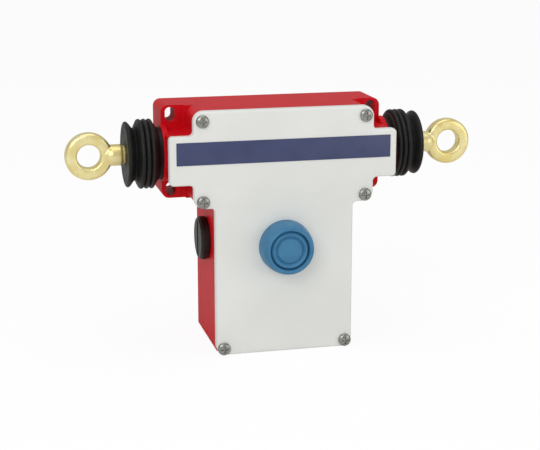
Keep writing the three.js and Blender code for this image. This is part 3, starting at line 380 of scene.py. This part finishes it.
# %% Plates
ARC = 8
PAST = 1.0
SAME_PLACE = 1e-6
SAME_PLANE = 1e-7
WELD = 2e-6


def slab(corners, front, back):
    """A plate from corners (x, z, radius) in mm, between two places along Y."""
    bm = bmesh.new()
    face = bm.faces.new([bm.verts.new((x * MM, front * MM, z * MM)) for x, z, radius in corners])
    grown = bmesh.ops.extrude_face_region(bm, geom=[face])["geom"]
    moved = [item for item in grown if isinstance(item, bmesh.types.BMVert)]
    bmesh.ops.translate(bm, verts=moved, vec=(0, (back - front) * MM, 0))
    for radius in sorted({corner[2] for corner in corners if corner[2]}):
        spots = [(x * MM, z * MM) for x, z, r in corners if r == radius]
        edges = [edge for edge in bm.edges if upright(edge) and near(edge.verts[0].co, spots)]
        bmesh.ops.bevel(bm, geom=edges, offset=radius * MM, segments=ARC, profile=0.5,
                        affect="EDGES", material=-1, offset_type="OFFSET")
    return tidy(bm)


def upright(edge):
    a, b = (vert.co for vert in edge.verts)
    return abs(a.x - b.x) < SAME_PLANE and abs(a.z - b.z) < SAME_PLANE


def near(point, spots):
    return any(abs(point.x - x) < SAME_PLACE and abs(point.z - z) < SAME_PLACE for x, z in spots)


def box_corners(left, right, low, high, radius):
    return [(left, low, radius), (right, low, radius), (right, high, radius), (left, high, radius)]


def round_rim(bm, front, width, segments):
    """Rounds the edges that lie in the plane y = front, in mm."""
    rim = [edge for edge in bm.edges
           if all(abs(vert.co.y - front * MM) < SAME_PLANE for vert in edge.verts)]
    bmesh.ops.bevel(bm, geom=rim, offset=width * MM, segments=segments, profile=0.5,
                    affect="EDGES", material=-1, offset_type="OFFSET")
    return bm


def tidy(bm):
    """Merges doubles and turns all faces outwards."""
    bmesh.ops.remove_doubles(bm, verts=bm.verts, dist=WELD)
    bmesh.ops.dissolve_degenerate(bm, edges=bm.edges, dist=SAME_PLANE)
    bmesh.ops.recalc_face_normals(bm, faces=bm.faces)
    return bm


print("arcs have", ARC, "segments, and a cutting tool reaches", PAST, "mm past the face")

# %% [markdown]
# Screws, bores, bellows and the button are round. Each is a profile of a few points, turned round
# its axis with a full spin, which merges its last step with its first.

# %% Turned pieces
SPIN_STEPS = 64


def rod(radius, start, end):
    """The profile of a plain round rod, from start to end along its axis."""
    return [(0, start), (radius, start), (radius, end), (0, end)]


def spun(profile, axis, centre, steps=SPIN_STEPS):
    """A turned piece: (radius, along) in mm, round an axis through centre, in mm."""
    bm = bmesh.new()
    middle, along = Vector(centre) * MM, Vector(axis)
    outward = Vector((0, 0, 1)) if abs(along.z) < 0.5 else Vector((1, 0, 0))
    verts = [bm.verts.new(middle + along * a * MM + outward * r * MM) for r, a in profile]
    edges = [bm.edges.new(pair) for pair in zip(verts, verts[1:])]
    bmesh.ops.spin(bm, geom=verts + edges, cent=middle, axis=along, angle=math.tau,
                   steps=steps, use_merge=True)
    return tidy(bm)


print("a turned piece has", SPIN_STEPS, "steps unless it says otherwise")

# %% [markdown]
# A new object always sits at the origin, with its place in its mesh, so the pattern of its finish
# and its ride on a body stay simple. Booleans and bevels are modifiers that are applied at once,
# by reading the evaluated mesh back.

# %% Objects and booleans
def make(name, bm):
    """An object at the origin from a bmesh."""
    mesh = bpy.data.meshes.new(name)
    bm.to_mesh(mesh)
    bm.free()
    made = bpy.data.objects.new(name, mesh)
    bpy.context.scene.collection.objects.link(made)
    return made


def settle(target):
    """Applies the modifiers of an object to its mesh."""
    bpy.context.view_layer.update()
    graph = bpy.context.evaluated_depsgraph_get()
    mesh = bpy.data.meshes.new_from_object(target.evaluated_get(graph))
    target.modifiers.clear()
    target.data = mesh
    return target


def combine(target, bm, operation):
    """Joins a bmesh to an object, cuts it out or keeps what they share."""
    tool = make("tool", tidy(bm))
    step = target.modifiers.new("step", "BOOLEAN")
    step.operation = operation
    step.solver = "EXACT"
    step.object = tool
    settle(target)
    bpy.data.objects.remove(tool)
    return target


print("helpers:", make.__name__, settle.__name__, combine.__name__)

# %% [markdown]
# No edge of a casting is sharp, so a bevel of a few tenths of a millimetre rounds it and catches
# the light. Smooth shading would also bend the large flat faces next to it, so weighted normals
# lean on the large faces. Last, each piece gets its finish and is tied to its body, and the nodes
# that it stands for are hidden.

# %% Soft edges and finish
SMOOTH_LIMIT = 32
FLAT_WEIGHT = 100


def soften(target, width, segments, limit):
    """Rounds every edge sharper than the limit, then shades smooth with flat faces kept flat."""
    step = target.modifiers.new("soften", "BEVEL")
    step.width = width * MM
    step.segments = segments
    step.limit_method = "ANGLE"
    step.angle_limit = math.radians(limit)
    step.use_clamp_overlap = True
    settle(target)
    shade(target)
    even = target.modifiers.new("even", "WEIGHTED_NORMAL")
    even.keep_sharp = True
    even.weight = FLAT_WEIGHT
    return settle(target)


def shade(target, limit=SMOOTH_LIMIT):
    target.data.shade_smooth()
    target.data.set_sharp_from_angle(angle=math.radians(limit))
    return target


def place(target, look, slot, body, *nodes):
    """Gives a piece its finish and its body, and hides the nodes that it stands for. The slot is not used.
    """
    target.data.materials.clear()
    target.data.materials.append(look)
    for polygon in target.data.polygons:
        polygon.material_index = 0
    if nodes:
        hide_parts(*nodes)
    if body:
        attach(target, body)
    print(target.name, len(target.data.polygons), "faces")
    return target


print("edges under", SMOOTH_LIMIT, "degrees are shaded smooth")

# %% [markdown]
# The outline is shared by the cover and the casting: a bar for the shaft, a taller head and a long
# stem. It is read off the frame's boxes where a box gives it. Moving it inwards by an inset changes
# the radii too: outer corners get tighter and inner corners wider.

# %% Outline
cover_low, cover_high = (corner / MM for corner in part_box("cover_plate"))
housing_low, housing_high = (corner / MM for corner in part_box("housing"))
BAR_HALF = cover_high.x
HEAD_RISE = cover_high.z
STEM_DROP = -cover_low.z
DEPTH = -cover_low.y
COVER_BACK = cover_high.y
HOUSING_FRONT = housing_low.y
HOUSING_INSET = 0.6
HEAD_HALF = 52.3
STEM_HALF = 40.35
BAR_RISE = 13.9
OUTER_CORNER, BAR_CORNER, INNER_CORNER = 6.0, 2.4, 2.5
FOOT_CORNER, LEAST_CORNER = 2.5, 0.5


def outline(inset, with_bar=True, foot=OUTER_CORNER):
    """Corners (x, z, radius) of the body's outline, moved inwards by inset."""
    outer_radius = max(OUTER_CORNER - inset, LEAST_CORNER)
    inner_radius = INNER_CORNER + inset
    foot_radius = max(foot - inset, LEAST_CORNER)
    head, stem, bar = HEAD_HALF - inset, STEM_HALF - inset, BAR_HALF - inset
    rise, bar_rise, drop = HEAD_RISE - inset, BAR_RISE - inset, STEM_DROP - inset
    bar_radius = max(BAR_CORNER - inset, LEAST_CORNER)
    half = [(stem, -drop, foot_radius), (stem, -rise, inner_radius), (head, -rise, outer_radius)]
    if with_bar:
        half += [(head, -bar_rise, inner_radius), (bar, -bar_rise, bar_radius),
                 (bar, bar_rise, bar_radius), (head, bar_rise, inner_radius)]
    half += [(head, rise, outer_radius)]
    return half + [(-x, z, radius) for x, z, radius in reversed(half)]


print("outline", round(2 * BAR_HALF, 1), "x", round(HEAD_RISE + STEM_DROP, 1), "mm")

# %% [markdown]
# The screws stand at six corners of the cover, in three pairs. The frame knows where: the middle of
# each screw's box.

# %% Screw places
SCREWS = [name for name in frame["nodes"] if name.startswith("cover_screw")]


def middle(node):
    low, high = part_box(node)
    return (low + high) / 2 / MM


screw_spots = {name: (middle(name).x, middle(name).z) for name in SCREWS}
print(len(SCREWS), "cover screws")

# %% [markdown]
# The casting. The body, the rear block with the lugs, and a low step round their meeting are three
# plates joined into one, with a round boss at each end for the bush and the bellows. The foot's
# corners are tighter than the cover's, as the photograph shows.

# %% Housing: outer form
LUG_DEPTH = 27.8
LUG_CORNER = 4.2
LUG_STEP_WIDTH = 2.2
LUG_STEP_RISE = 2.4
WALL = 4.0
ROPE_SEAT_X = housing_high.x
BOSS_RADIUS, BOSS_RISE, BOSS_STEPS = 16.5, 1.0, 80
END_X = ROPE_SEAT_X - BOSS_RISE
ROPE_Y = middle("pull_shaft").y
BLOCK_RISE = housing_high.z

body_outline = outline(HOUSING_INSET, foot=FOOT_CORNER)
housing = make("housing_casting", slab(body_outline, HOUSING_FRONT, 0))
block_corners = box_corners(-END_X, END_X, -BLOCK_RISE, BLOCK_RISE, LUG_CORNER)
combine(housing, slab(block_corners, -LUG_DEPTH, 0), "UNION")
step_front = -LUG_DEPTH - LUG_STEP_RISE
step_plate = make("step_plate", slab(outline(HOUSING_INSET - LUG_STEP_WIDTH), step_front,
                                     -LUG_DEPTH + PAST))
combine(step_plate, slab(block_corners, -DEPTH, 0), "INTERSECT")
step_bm = bmesh.new()
step_bm.from_mesh(step_plate.data)
bpy.data.objects.remove(step_plate)
combine(housing, step_bm, "UNION")
for sideways in (-1, 1):
    boss = rod(BOSS_RADIUS, END_X - WALL / 2, ROPE_SEAT_X)
    combine(housing, spun(boss, (sideways, 0, 0), (0, ROPE_Y, 0), BOSS_STEPS), "UNION")
print("casting", len(housing.data.polygons), "faces")

# %% [markdown]
# The mounting slots go right through the lugs, and their rear part is wider, as cast. The shaft
# bushes and the cable entries are bored through the walls.

# %% Housing: slots, bores and hollow
SLOT_X, SLOT_Z = 60.0, 21.8
SLOT_WIDTH, SLOT_HEIGHT = 5.8, 8.2
SLOT_RELIEF, SLOT_RELIEF_DEPTH = 2.0, 16.0
SLOT_CORNER = 2.7
ENTRY_Z = middle("blanking_plug_left").z
ENTRY_Y = middle("blanking_plug_left").y
BUSH_BORE, ENTRY_BORE = 9.9, 10.2
BORE_REACH = 12.0
CAST_EDGE = 0.45

combine(housing, slab(outline(HOUSING_INSET + WALL, False), HOUSING_FRONT - PAST, -WALL),
        "DIFFERENCE")
for sideways in (-1, 1):
    for upwards in (-1, 1):
        x, z = sideways * SLOT_X, upwards * SLOT_Z
        across, up = SLOT_WIDTH / 2, SLOT_HEIGHT / 2
        slot_hole = slab(box_corners(x - across, x + across, z - up, z + up, SLOT_CORNER),
                         step_front - PAST, PAST)
        combine(housing, slot_hole, "DIFFERENCE")
        xs = sorted((x + sideways * across, x - sideways * (across + SLOT_RELIEF)))
        zs = sorted((z + upwards * up, z - upwards * (up + SLOT_RELIEF)))
        relief = slab(box_corners(*xs, *zs, SLOT_CORNER), -SLOT_RELIEF_DEPTH, PAST)
        combine(housing, relief, "DIFFERENCE")
    bush_bore = rod(BUSH_BORE, HEAD_HALF - BORE_REACH, ROPE_SEAT_X + BORE_REACH)
    combine(housing, spun(bush_bore, (sideways, 0, 0), (0, ROPE_Y, 0)), "DIFFERENCE")
    entry_bore = rod(ENTRY_BORE, STEM_HALF - BORE_REACH, STEM_HALF + BORE_REACH)
    combine(housing, spun(entry_bore, (sideways, 0, 0), (0, ENTRY_Y, ENTRY_Z)), "DIFFERENCE")
soften(housing, CAST_EDGE, 3, 40)
place(housing, red_paint, "red_paint", "body", "housing")

# %% [markdown]
# The cover is a flat tray. Its front edge is rounded over about a millimetre, which is what catches
# the light all round it. The bevel works on the front rim alone, before any hole is cut.

# %% Cover
COVER_EDGE, COVER_EDGE_STEPS = 1.3, 5
COVER_SKIN = 2.6
COVER_RIM = 4.0
BUTTON_HOLE = 11.0
RESET_Z = middle("reset_cap").z

cover_bm = round_rim(slab(outline(0), -DEPTH, COVER_BACK), -DEPTH, COVER_EDGE, COVER_EDGE_STEPS)
cover = make("cover_tray", cover_bm)
combine(cover, slab(outline(COVER_RIM), -DEPTH + COVER_SKIN, COVER_BACK + PAST), "DIFFERENCE")
button_hole = rod(BUTTON_HOLE, -DEPTH - BORE_REACH, -DEPTH + BORE_REACH)
combine(cover, spun(button_hole, (0, 1, 0), (0, 0, RESET_Z)), "DIFFERENCE")
shade(cover)
place(cover, cover_paint, "cover_metal", "body", "cover_plate")

# %% [markdown]
# A cover screw is an M4 pan head: turned with a domed top, then a cross is pressed into it. One is
# modelled at each place by a loop, and each stands for its own node.

# %% Cover screws
HEAD_RADIUS, HEAD_HEIGHT, SHANK, SCREW_LENGTH = 3.7, 2.3, 2.0, 16.0
DOME_RISE, DOME_EDGE, DOME_STEPS = 1.5, 1.7, 12
CROSS_LENGTH, CROSS_WIDTH, CROSS_DEPTH, CROSS_CORNER = 4.4, 0.95, 1.1, 0.3
SCREW_STEPS, SCREW_EDGE = 40, 0.12


def cross_bar(wide, tall, x, z, front):
    """One bar of the cross recess, a box cut into the head."""
    corners = box_corners(x - wide / 2, x + wide / 2, z - tall / 2, z + tall / 2, CROSS_CORNER)
    return slab(corners, front - PAST, front + CROSS_DEPTH)


def screw_profile(top):
    """(radius, y) of a pan head with a domed top and its shank."""
    angles = [math.pi / 2 / DOME_STEPS * step for step in range(DOME_STEPS)]
    dome = [(HEAD_RADIUS * math.sin(angle), top + DOME_RISE * (1 - math.cos(angle)))
            for angle in angles]
    return dome + [(HEAD_RADIUS, top + DOME_EDGE), (HEAD_RADIUS, -DEPTH), (SHANK, -DEPTH),
                   (SHANK, -DEPTH + SCREW_LENGTH), (0, -DEPTH + SCREW_LENGTH)]


for name, (x, z) in screw_spots.items():
    top = -DEPTH - HEAD_HEIGHT
    head = make(name + "_fine", spun(screw_profile(top), (0, 1, 0), (x, 0, z), SCREW_STEPS))
    combine(head, cross_bar(CROSS_LENGTH, CROSS_WIDTH, x, z, top), "DIFFERENCE")
    combine(head, cross_bar(CROSS_WIDTH, CROSS_LENGTH, x, z, top), "DIFFERENCE")
    soften(head, SCREW_EDGE, 2, 40)
    place(head, bright_zinc, "zinc_steel", "body", name)

# %% [markdown]
# The bellows are rubber: a neck on the bush, three ribs, a notch and an outer lip, with a web that
# closes on the eye's collar. Half waves give the soft flanks, and a root of a sine gives ribs that
# are full on top and tight in the groove. The section is one closed profile, with a real wall.

# %% Bellows profile
RIB_RADIUS, RIB_GROOVE, RIBS = 20.0, 1.7, 3
NECK_RUBBER, NECK_LENGTH, ROOT = 15.0, 1.6, 4.5
NOTCH_RADIUS, NOTCH_WIDTH = 15.0, 4.1
LIP_RADIUS, LIP_WIDTH, LIP_MIDDLE, LIP_ROUND, LIP_CREST = 18.8, 3.2, 0.62, 1.5, 1.0
WEB_RADIUS, BELLOWS_WALL, GRIP, LINING = 5.45, 2.2, 12.75, 1.1
WEB_OUTSIDE = ((14.5, 0.25), (11.0, 0.5), (8.0, 0.25), (WEB_RADIUS + 0.6, 0))
WEB_INSIDE = ((WEB_RADIUS, 0.2), (WEB_RADIUS, 1.3), (9.0, 1.7), (14.5, 1.7))
FIRST_RIB_TUCK, NOTCH_SWEEP = 0.4, 0.8
RIB_STEPS, LIP_STEPS = 12, 6
BELLOWS_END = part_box("bellows_right")[1].x / MM


def eased(start, end, steps, power=1.0):
    """Points from start to end, both (radius, x), the radius following half a cosine wave."""
    points = []
    for step in range(1, steps + 1):
        share = step / steps
        wave = (0.5 - 0.5 * math.cos(math.pi * share)) ** power
        points.append((start[0] + (end[0] - start[0]) * wave, start[1] + (end[1] - start[1]) * share))
    return points


def bellows_profile():
    """(radius, x) of the rubber's section, outside first, then back along the inside."""
    lip = BELLOWS_END - LIP_WIDTH
    lip_crest = (LIP_RADIUS, lip + LIP_WIDTH * LIP_MIDDLE)
    notch = lip - NOTCH_WIDTH
    notch_bottom = (NOTCH_RADIUS, notch + NOTCH_WIDTH / 2)
    ribs = ROPE_SEAT_X + ROOT
    pitch = (notch - ribs) / RIBS
    low = RIB_RADIUS - RIB_GROOVE
    outside = [(NECK_RUBBER, ROPE_SEAT_X), (NECK_RUBBER, ROPE_SEAT_X + NECK_LENGTH)]
    outside += eased(outside[-1], (low - FIRST_RIB_TUCK, ribs), 6)
    for rib in range(RIBS):
        for step in range(1, RIB_STEPS + 1):
            swell = math.sin(math.pi * step / RIB_STEPS) ** 0.5
            outside.append((low + RIB_GROOVE * swell, ribs + pitch * (rib + step / RIB_STEPS)))
    outside += eased(outside[-1], notch_bottom, 6, NOTCH_SWEEP)
    outside += eased(notch_bottom, lip_crest, 10, NOTCH_SWEEP)
    for step in range(1, LIP_STEPS + 1):
        angle = math.pi / 2 * step / LIP_STEPS
        outside.append((LIP_RADIUS - LIP_ROUND * (1 - math.cos(angle)),
                        lip_crest[1] + LIP_CREST * math.sin(angle)))
    outside += [(radius, BELLOWS_END - depth) for radius, depth in WEB_OUTSIDE]
    inside = [(radius, BELLOWS_END - depth) for radius, depth in WEB_INSIDE]
    inside += [(LIP_RADIUS - BELLOWS_WALL, lip + LIP_WIDTH / 2),
               (NOTCH_RADIUS - BELLOWS_WALL, notch_bottom[1]),
               (low - BELLOWS_WALL, notch - LINING), (low - BELLOWS_WALL, ribs),
               (GRIP, ROPE_SEAT_X + NECK_LENGTH + LINING), (GRIP, ROPE_SEAT_X)]
    return outside + inside + outside[:1]


print("bellows section of", len(bellows_profile()), "points")

# %% [markdown]
# Each bellows is that section with one full spin. Its neck stays on the housing and its lip moves
# with the shaft, but the mesh is tied to neither body and stays where it is made.

# %% Bellows
SIDES = (("left", -1), ("right", 1))
BELLOWS_STEPS = 96

for side, sign in SIDES:
    rubber = make("bellows_" + side + "_fine",
                  spun(bellows_profile(), (sign, 0, 0), (0, ROPE_Y, 0), BELLOWS_STEPS))
    shade(rubber, 50)
    place(rubber, black_rubber, "black_rubber", None, "bellows_" + side)
    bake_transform(rubber)

# %% [markdown]
# The eyes are forged: ring and neck flow into each other. A turned ring and a turned neck are
# joined, remeshed finely and smoothed, which leaves the soft fillet that a forging has.

# %% Eye bolts
EYE_RADIUS, EYE_HOLE, EYE_HALF, EYE_ROUND = 13.5, 6.7, 4.0, 2.0
EYE_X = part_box("eye_bolt_right")[1].x / MM - EYE_RADIUS
OUTER_ROUND, INNER_ROUND = 2.4, 1.6
NECK_START, STUD_START = EYE_X - 19.0, EYE_X - 35.4
NECK_RADIUS, NECK_EDGE, STUD_RADIUS = 6.15, 0.6, 4.0
NECK_TAPER = ((NECK_RADIUS, EYE_X - 13.0), (5.6, EYE_X - 11.2), (4.4, EYE_X - 9.2),
              (3.4, EYE_X - 7.8), (0, EYE_X - 7.8))
VOXEL, EASE, EASE_PASSES = 0.42, 0.5, 6


def ring_section():
    """The ring's rounded section, as (radius, y) all the way round."""
    points = []
    for centre, reach, start in ((EYE_RADIUS - OUTER_ROUND, OUTER_ROUND, 0),
                                 (EYE_HOLE + INNER_ROUND, INNER_ROUND, 90)):
        for degrees in range(start, start + 91, 15):
            angle = math.radians(degrees)
            points.append((centre + reach * math.cos(angle),
                           EYE_HALF - EYE_ROUND + EYE_ROUND * math.sin(angle)))
    mirrored = [(radius, -y) for radius, y in reversed(points)]
    return points + mirrored + points[:1]


for side, sign in SIDES:
    eye = make("eye_bolt_" + side + "_fine",
               spun(ring_section(), (0, 1, 0), (sign * EYE_X, ROPE_Y, 0), 72))
    neck = [(0, STUD_START), (STUD_RADIUS, STUD_START), (STUD_RADIUS, NECK_START),
            (NECK_RADIUS - NECK_EDGE, NECK_START), (NECK_RADIUS, NECK_START + NECK_EDGE),
            *NECK_TAPER]
    combine(eye, spun(neck, (sign, 0, 0), (0, ROPE_Y, 0), 48), "UNION")
    remesh = eye.modifiers.new("remesh", "REMESH")
    remesh.mode = "VOXEL"
    remesh.voxel_size = VOXEL * MM
    ease = eye.modifiers.new("ease", "SMOOTH")
    ease.factor = EASE
    ease.iterations = EASE_PASSES
    settle(eye)
    eye.data.shade_smooth()
    place(eye, yellow_zinc, "yellow_zinc", "shaft", "eye_bolt_" + side)

# %% [markdown]
# The reset button has a fixed skirt of blue silicone that leans in towards the front. It is turned
# from one profile, with its bead at the cover, its steep side, its round front lip and its mouth.

# %% Reset skirt
BOOT_BASE, BOOT_FRONT, BOOT_MOUTH, BOOT_SEAT, BOOT_BEAD = 15.4, 13.9, 11.3, 13.9, 2.7
BUTTON_STEPS = 96
boot_front, boot_back = (corner.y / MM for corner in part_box("reset_boot"))

boot_profile = [
    (BOOT_SEAT, boot_back), (BOOT_BASE - 0.25, boot_back), (BOOT_BASE, boot_back - 0.3),
    (BOOT_BASE - 0.1, boot_back - 3.0), (BOOT_BASE - 0.3, boot_back - 6.0),
    (BOOT_BASE - 0.7, boot_back - 8.8), (BOOT_FRONT + 0.4, boot_front + 2.6),
    (BOOT_FRONT + 0.1, boot_front + 1.5), (BOOT_FRONT - 0.35, boot_front + 0.7),
    (BOOT_FRONT - 0.9, boot_front + 0.2), (BOOT_FRONT - 1.5, boot_front),
    (BOOT_MOUTH + 0.9, boot_front), (BOOT_MOUTH + 0.35, boot_front + 0.3),
    (BOOT_MOUTH, boot_front + 1.1), (BOOT_MOUTH, boot_back - BOOT_BEAD), (BOOT_SEAT, boot_back - BOOT_BEAD),
    (BOOT_SEAT, boot_back)]
boot = make("reset_boot_fine", spun(boot_profile, (0, 1, 0), (0, 0, RESET_Z), BUTTON_STEPS))
shade(boot, 40)
place(boot, blue_rubber, "blue_rubber", "body", "reset_boot")

# %% [markdown]
# Inside the skirt slides a round cap with a raised ring, which a finger finds by feel. The dark
# circle between the two is the gap in which the cap slides. The cap rides on the button's body.

# %% Reset cap
CAP_RADIUS = 11.0
cap_front, cap_back = (corner.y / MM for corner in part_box("reset_cap"))

cap_profile = [
    (0, cap_front + 0.55), (6.6, cap_front + 0.55), (6.95, cap_front + 0.7),
    (7.2, cap_front + 1.2), (7.45, cap_front + 1.55), (7.75, cap_front + 1.6),
    (8.1, cap_front + 1.2), (8.6, cap_front + 0.45), (9.1, cap_front + 0.1),
    (9.45, cap_front), (9.8, cap_front + 0.15), (10.25, cap_front + 0.8),
    (10.7, cap_front + 1.5), (CAP_RADIUS, cap_front + 1.9), (CAP_RADIUS, cap_back),
    (0, cap_back)]
cap = make("reset_cap_fine", spun(cap_profile, (0, 1, 0), (0, 0, RESET_Z), BUTTON_STEPS))
shade(cap, 50)
place(cap, blue_rubber, "blue_rubber", "reset_button", "reset_cap")

# %% [markdown]
# A blanking plug is a black moulding with a flat, bevelled head and a wide slot for a coin or a
# large screwdriver. The slot stands upright.

# %% Blanking plugs
plug_low, plug_high = (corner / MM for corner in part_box("blanking_plug_right"))
PLUG_HEAD, PLUG_HEAD_DEPTH, PLUG_EDGE, PLUG_SOFT = 12.7, 4.4, 1.2, 0.3
PLUG_THREAD, THREAD_EDGE = 9.9, 1.0
PLUG_STEPS = 80
plug_end = plug_high.x
plug_seat = plug_end - PLUG_HEAD_DEPTH
SLOT_TALL, SLOT_WIDE, SLOT_DEEP = 20.6, 3.0, 2.6

for side, sign in SIDES:
    profile = [(0, plug_low.x), (PLUG_THREAD - THREAD_EDGE, plug_low.x),
               (PLUG_THREAD, plug_low.x + THREAD_EDGE), (PLUG_THREAD, plug_seat),
               (PLUG_HEAD, plug_seat), (PLUG_HEAD, plug_end - PLUG_EDGE),
               (PLUG_HEAD - PLUG_EDGE, plug_end), (0, plug_end)]
    plug = make("blanking_plug_" + side + "_fine",
                spun(profile, (sign, 0, 0), (0, ENTRY_Y, ENTRY_Z), PLUG_STEPS))
    groove = bmesh.new()
    bmesh.ops.create_cube(groove, size=1.0)
    bmesh.ops.scale(groove, verts=groove.verts,
                    vec=(2 * SLOT_DEEP * MM, SLOT_WIDE * MM, SLOT_TALL * MM))
    bmesh.ops.translate(groove, verts=groove.verts,
                        vec=(sign * plug_end * MM, ENTRY_Y * MM, ENTRY_Z * MM))
    combine(plug, groove, "DIFFERENCE")
    soften(plug, PLUG_SOFT, 3, 30)
    place(plug, black_plastic, "black_plastic", "body", "blanking_plug_" + side)

# %% [markdown]
# The blue stripe is a film on the cover, left bare, with a faint rounded rim. The gasket is the
# dark line under the cover: a plate on the same outline, a little smaller, with its middle and the
# screw holes cut out.

# %% Stripe and gasket
STRIPE_CORNER, STRIPE_RIM = 0.35, 0.16
GASKET_INSET, GASKET_BAND, HOLE_PLAY, HOLE_STEPS = 0.35, 3.6, 0.3, 24

stripe_low, stripe_high = (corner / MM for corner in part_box("cover_stripe"))
stripe_corners = box_corners(stripe_low.x, stripe_high.x, stripe_low.z, stripe_high.z,
                             STRIPE_CORNER)
stripe_bm = slab(stripe_corners, stripe_low.y, stripe_high.y)
stripe = shade(make("cover_stripe_fine", round_rim(stripe_bm, stripe_low.y, STRIPE_RIM, 2)))
place(stripe, navy_film, "navy_inlay", "body", "cover_stripe")

gasket = make("cover_gasket_fine", slab(outline(GASKET_INSET), COVER_BACK, HOUSING_FRONT))
combine(gasket, slab(outline(GASKET_INSET + GASKET_BAND), COVER_BACK - PAST, HOUSING_FRONT + PAST),
        "DIFFERENCE")
gasket_hole = rod(SHANK + HOLE_PLAY, COVER_BACK - PAST, HOUSING_FRONT + PAST)
for x, z in screw_spots.values():
    combine(gasket, spun(gasket_hole, (0, 1, 0), (x, 0, z), HOLE_STEPS), "DIFFERENCE")
shade(gasket)
place(gasket, gasket_rubber, "black_rubber", "body", "cover_gasket")

# %% [markdown]
# A lock ring sits behind each eye's neck, and a seal under each plug's head. Both are washers:
# short turned rings with bevelled outer edges. Their places along X come from the frame.

# %% Lock rings and plug seals
RING_INNER, RING_OUTER, RING_EDGE = 4.1, 5.3, 0.35
SEAL_INNER, SEAL_OUTER, SEAL_EDGE = 10.15, 12.2, 0.2


def washer(inner, outer, start, end, edge, sign, at):
    """A turned ring with its outer edges bevelled, along X from start to end."""
    profile = [(inner, start), (outer - edge, start), (outer, start + edge), (outer, end - edge),
               (outer - edge, end), (inner, end), (inner, start)]
    return spun(profile, (sign, 0, 0), at)


ring_low, ring_high = (corner.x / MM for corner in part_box("eye_lock_ring_right"))
seal_low, seal_high = (corner.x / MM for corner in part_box("plug_seal_right"))
for side, sign in SIDES:
    lock = make("eye_lock_ring_" + side + "_fine",
                washer(RING_INNER, RING_OUTER, ring_low, ring_high, RING_EDGE, sign,
                       (0, ROPE_Y, 0)))
    shade(lock)
    place(lock, yellow_zinc, "yellow_zinc", "shaft", "eye_lock_ring_" + side)
    seal = make("plug_seal_" + side + "_fine",
                washer(SEAL_INNER, SEAL_OUTER, seal_low, seal_high, SEAL_EDGE, sign,
                       (0, ENTRY_Y, ENTRY_Z)))
    shade(seal)
    place(seal, black_rubber, "black_rubber", "body", "plug_seal_" + side)

# %% [markdown]
# The springs are hidden inside. Each is one circle of wire that is spun turn by turn with a step
# along the axis: the end turns lie close, the others are open. One end of a real spring rides on the
# moving body and the other stays, but each mesh here is tied to no body.

# %% Coil helpers
SPRING_STEPS = 32
SPRING_GAP = 0.15
WIRE_SIDES = 10


def coil(axis, centre, radius, wire, places):
    """A coil of round wire; places are the wire's places along the axis after each whole turn."""
    bm = bmesh.new()
    along, hub = Vector(axis), Vector(centre) * MM
    outward = Vector((0, 0, 1))
    turn = Matrix((outward, along, outward.cross(along))).transposed().to_4x4()
    circle = bmesh.ops.create_circle(bm, cap_ends=False, radius=wire * MM, segments=WIRE_SIDES)
    at = hub + (along * places[0] + outward * radius) * MM
    bmesh.ops.transform(bm, matrix=Matrix.Translation(at) @ turn, verts=circle["verts"])
    ends = bm.verts[:] + bm.edges[:]
    for start, end in zip(places, places[1:]):
        step = along * (end - start) * MM / SPRING_STEPS
        spun_turn = bmesh.ops.spin(bm, geom=ends, cent=hub, axis=along, dvec=step,
                                   angle=math.tau, steps=SPRING_STEPS, use_merge=False)
        ends = spun_turn["geom_last"]
    rims = [edge for edge in bm.edges if edge.is_boundary]
    bmesh.ops.edgeloop_fill(bm, edges=rims)
    return tidy(bm)


def turn_places(low, high, wire, turns):
    """Places of the turns between two ends: one close turn at each end, even ones between."""
    first, last = low + wire, high - wire
    close = 2 * wire + SPRING_GAP
    open_turns = turns - 2
    even = (last - first - 2 * close) / open_turns
    return [first] + [first + close + even * i for i in range(open_turns + 1)] + [last]


print("a turn has", SPRING_STEPS, "steps of a wire with", WIRE_SIDES, "sides")

# %% [markdown]
# Three springs: two on the shaft, one on each side of its collar, and one under the reset button.
# Their ends come from the frame.

# %% Springs
RETURN_COIL = (8.3, 0.9, 6)
RESET_COIL = (6.8, 0.5, 5)


def spring_piece(node, axis, centre, size, low, high):
    """A spring from its size: coil radius, wire radius and number of turns."""
    radius, wire, turns = size
    piece = make(node + "_fine", coil(axis, centre, radius, wire,
                                      turn_places(low, high, wire, turns)))
    shade(piece, 60)
    return place(piece, turned_steel, "bright_steel", None, node)


spring_low, spring_high = (corner.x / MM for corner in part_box("return_spring_right"))
for side, sign in SIDES:
    piece = spring_piece("return_spring_" + side, (sign, 0, 0), (0, ROPE_Y, 0), RETURN_COIL,
                         spring_low, spring_high)
    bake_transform(piece)

reset_low, reset_high = (corner.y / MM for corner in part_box("reset_spring"))
piece = spring_piece("reset_spring", (0, 1, 0), (0, 0, RESET_Z), RESET_COIL, reset_low,
                     reset_high)
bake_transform(piece)
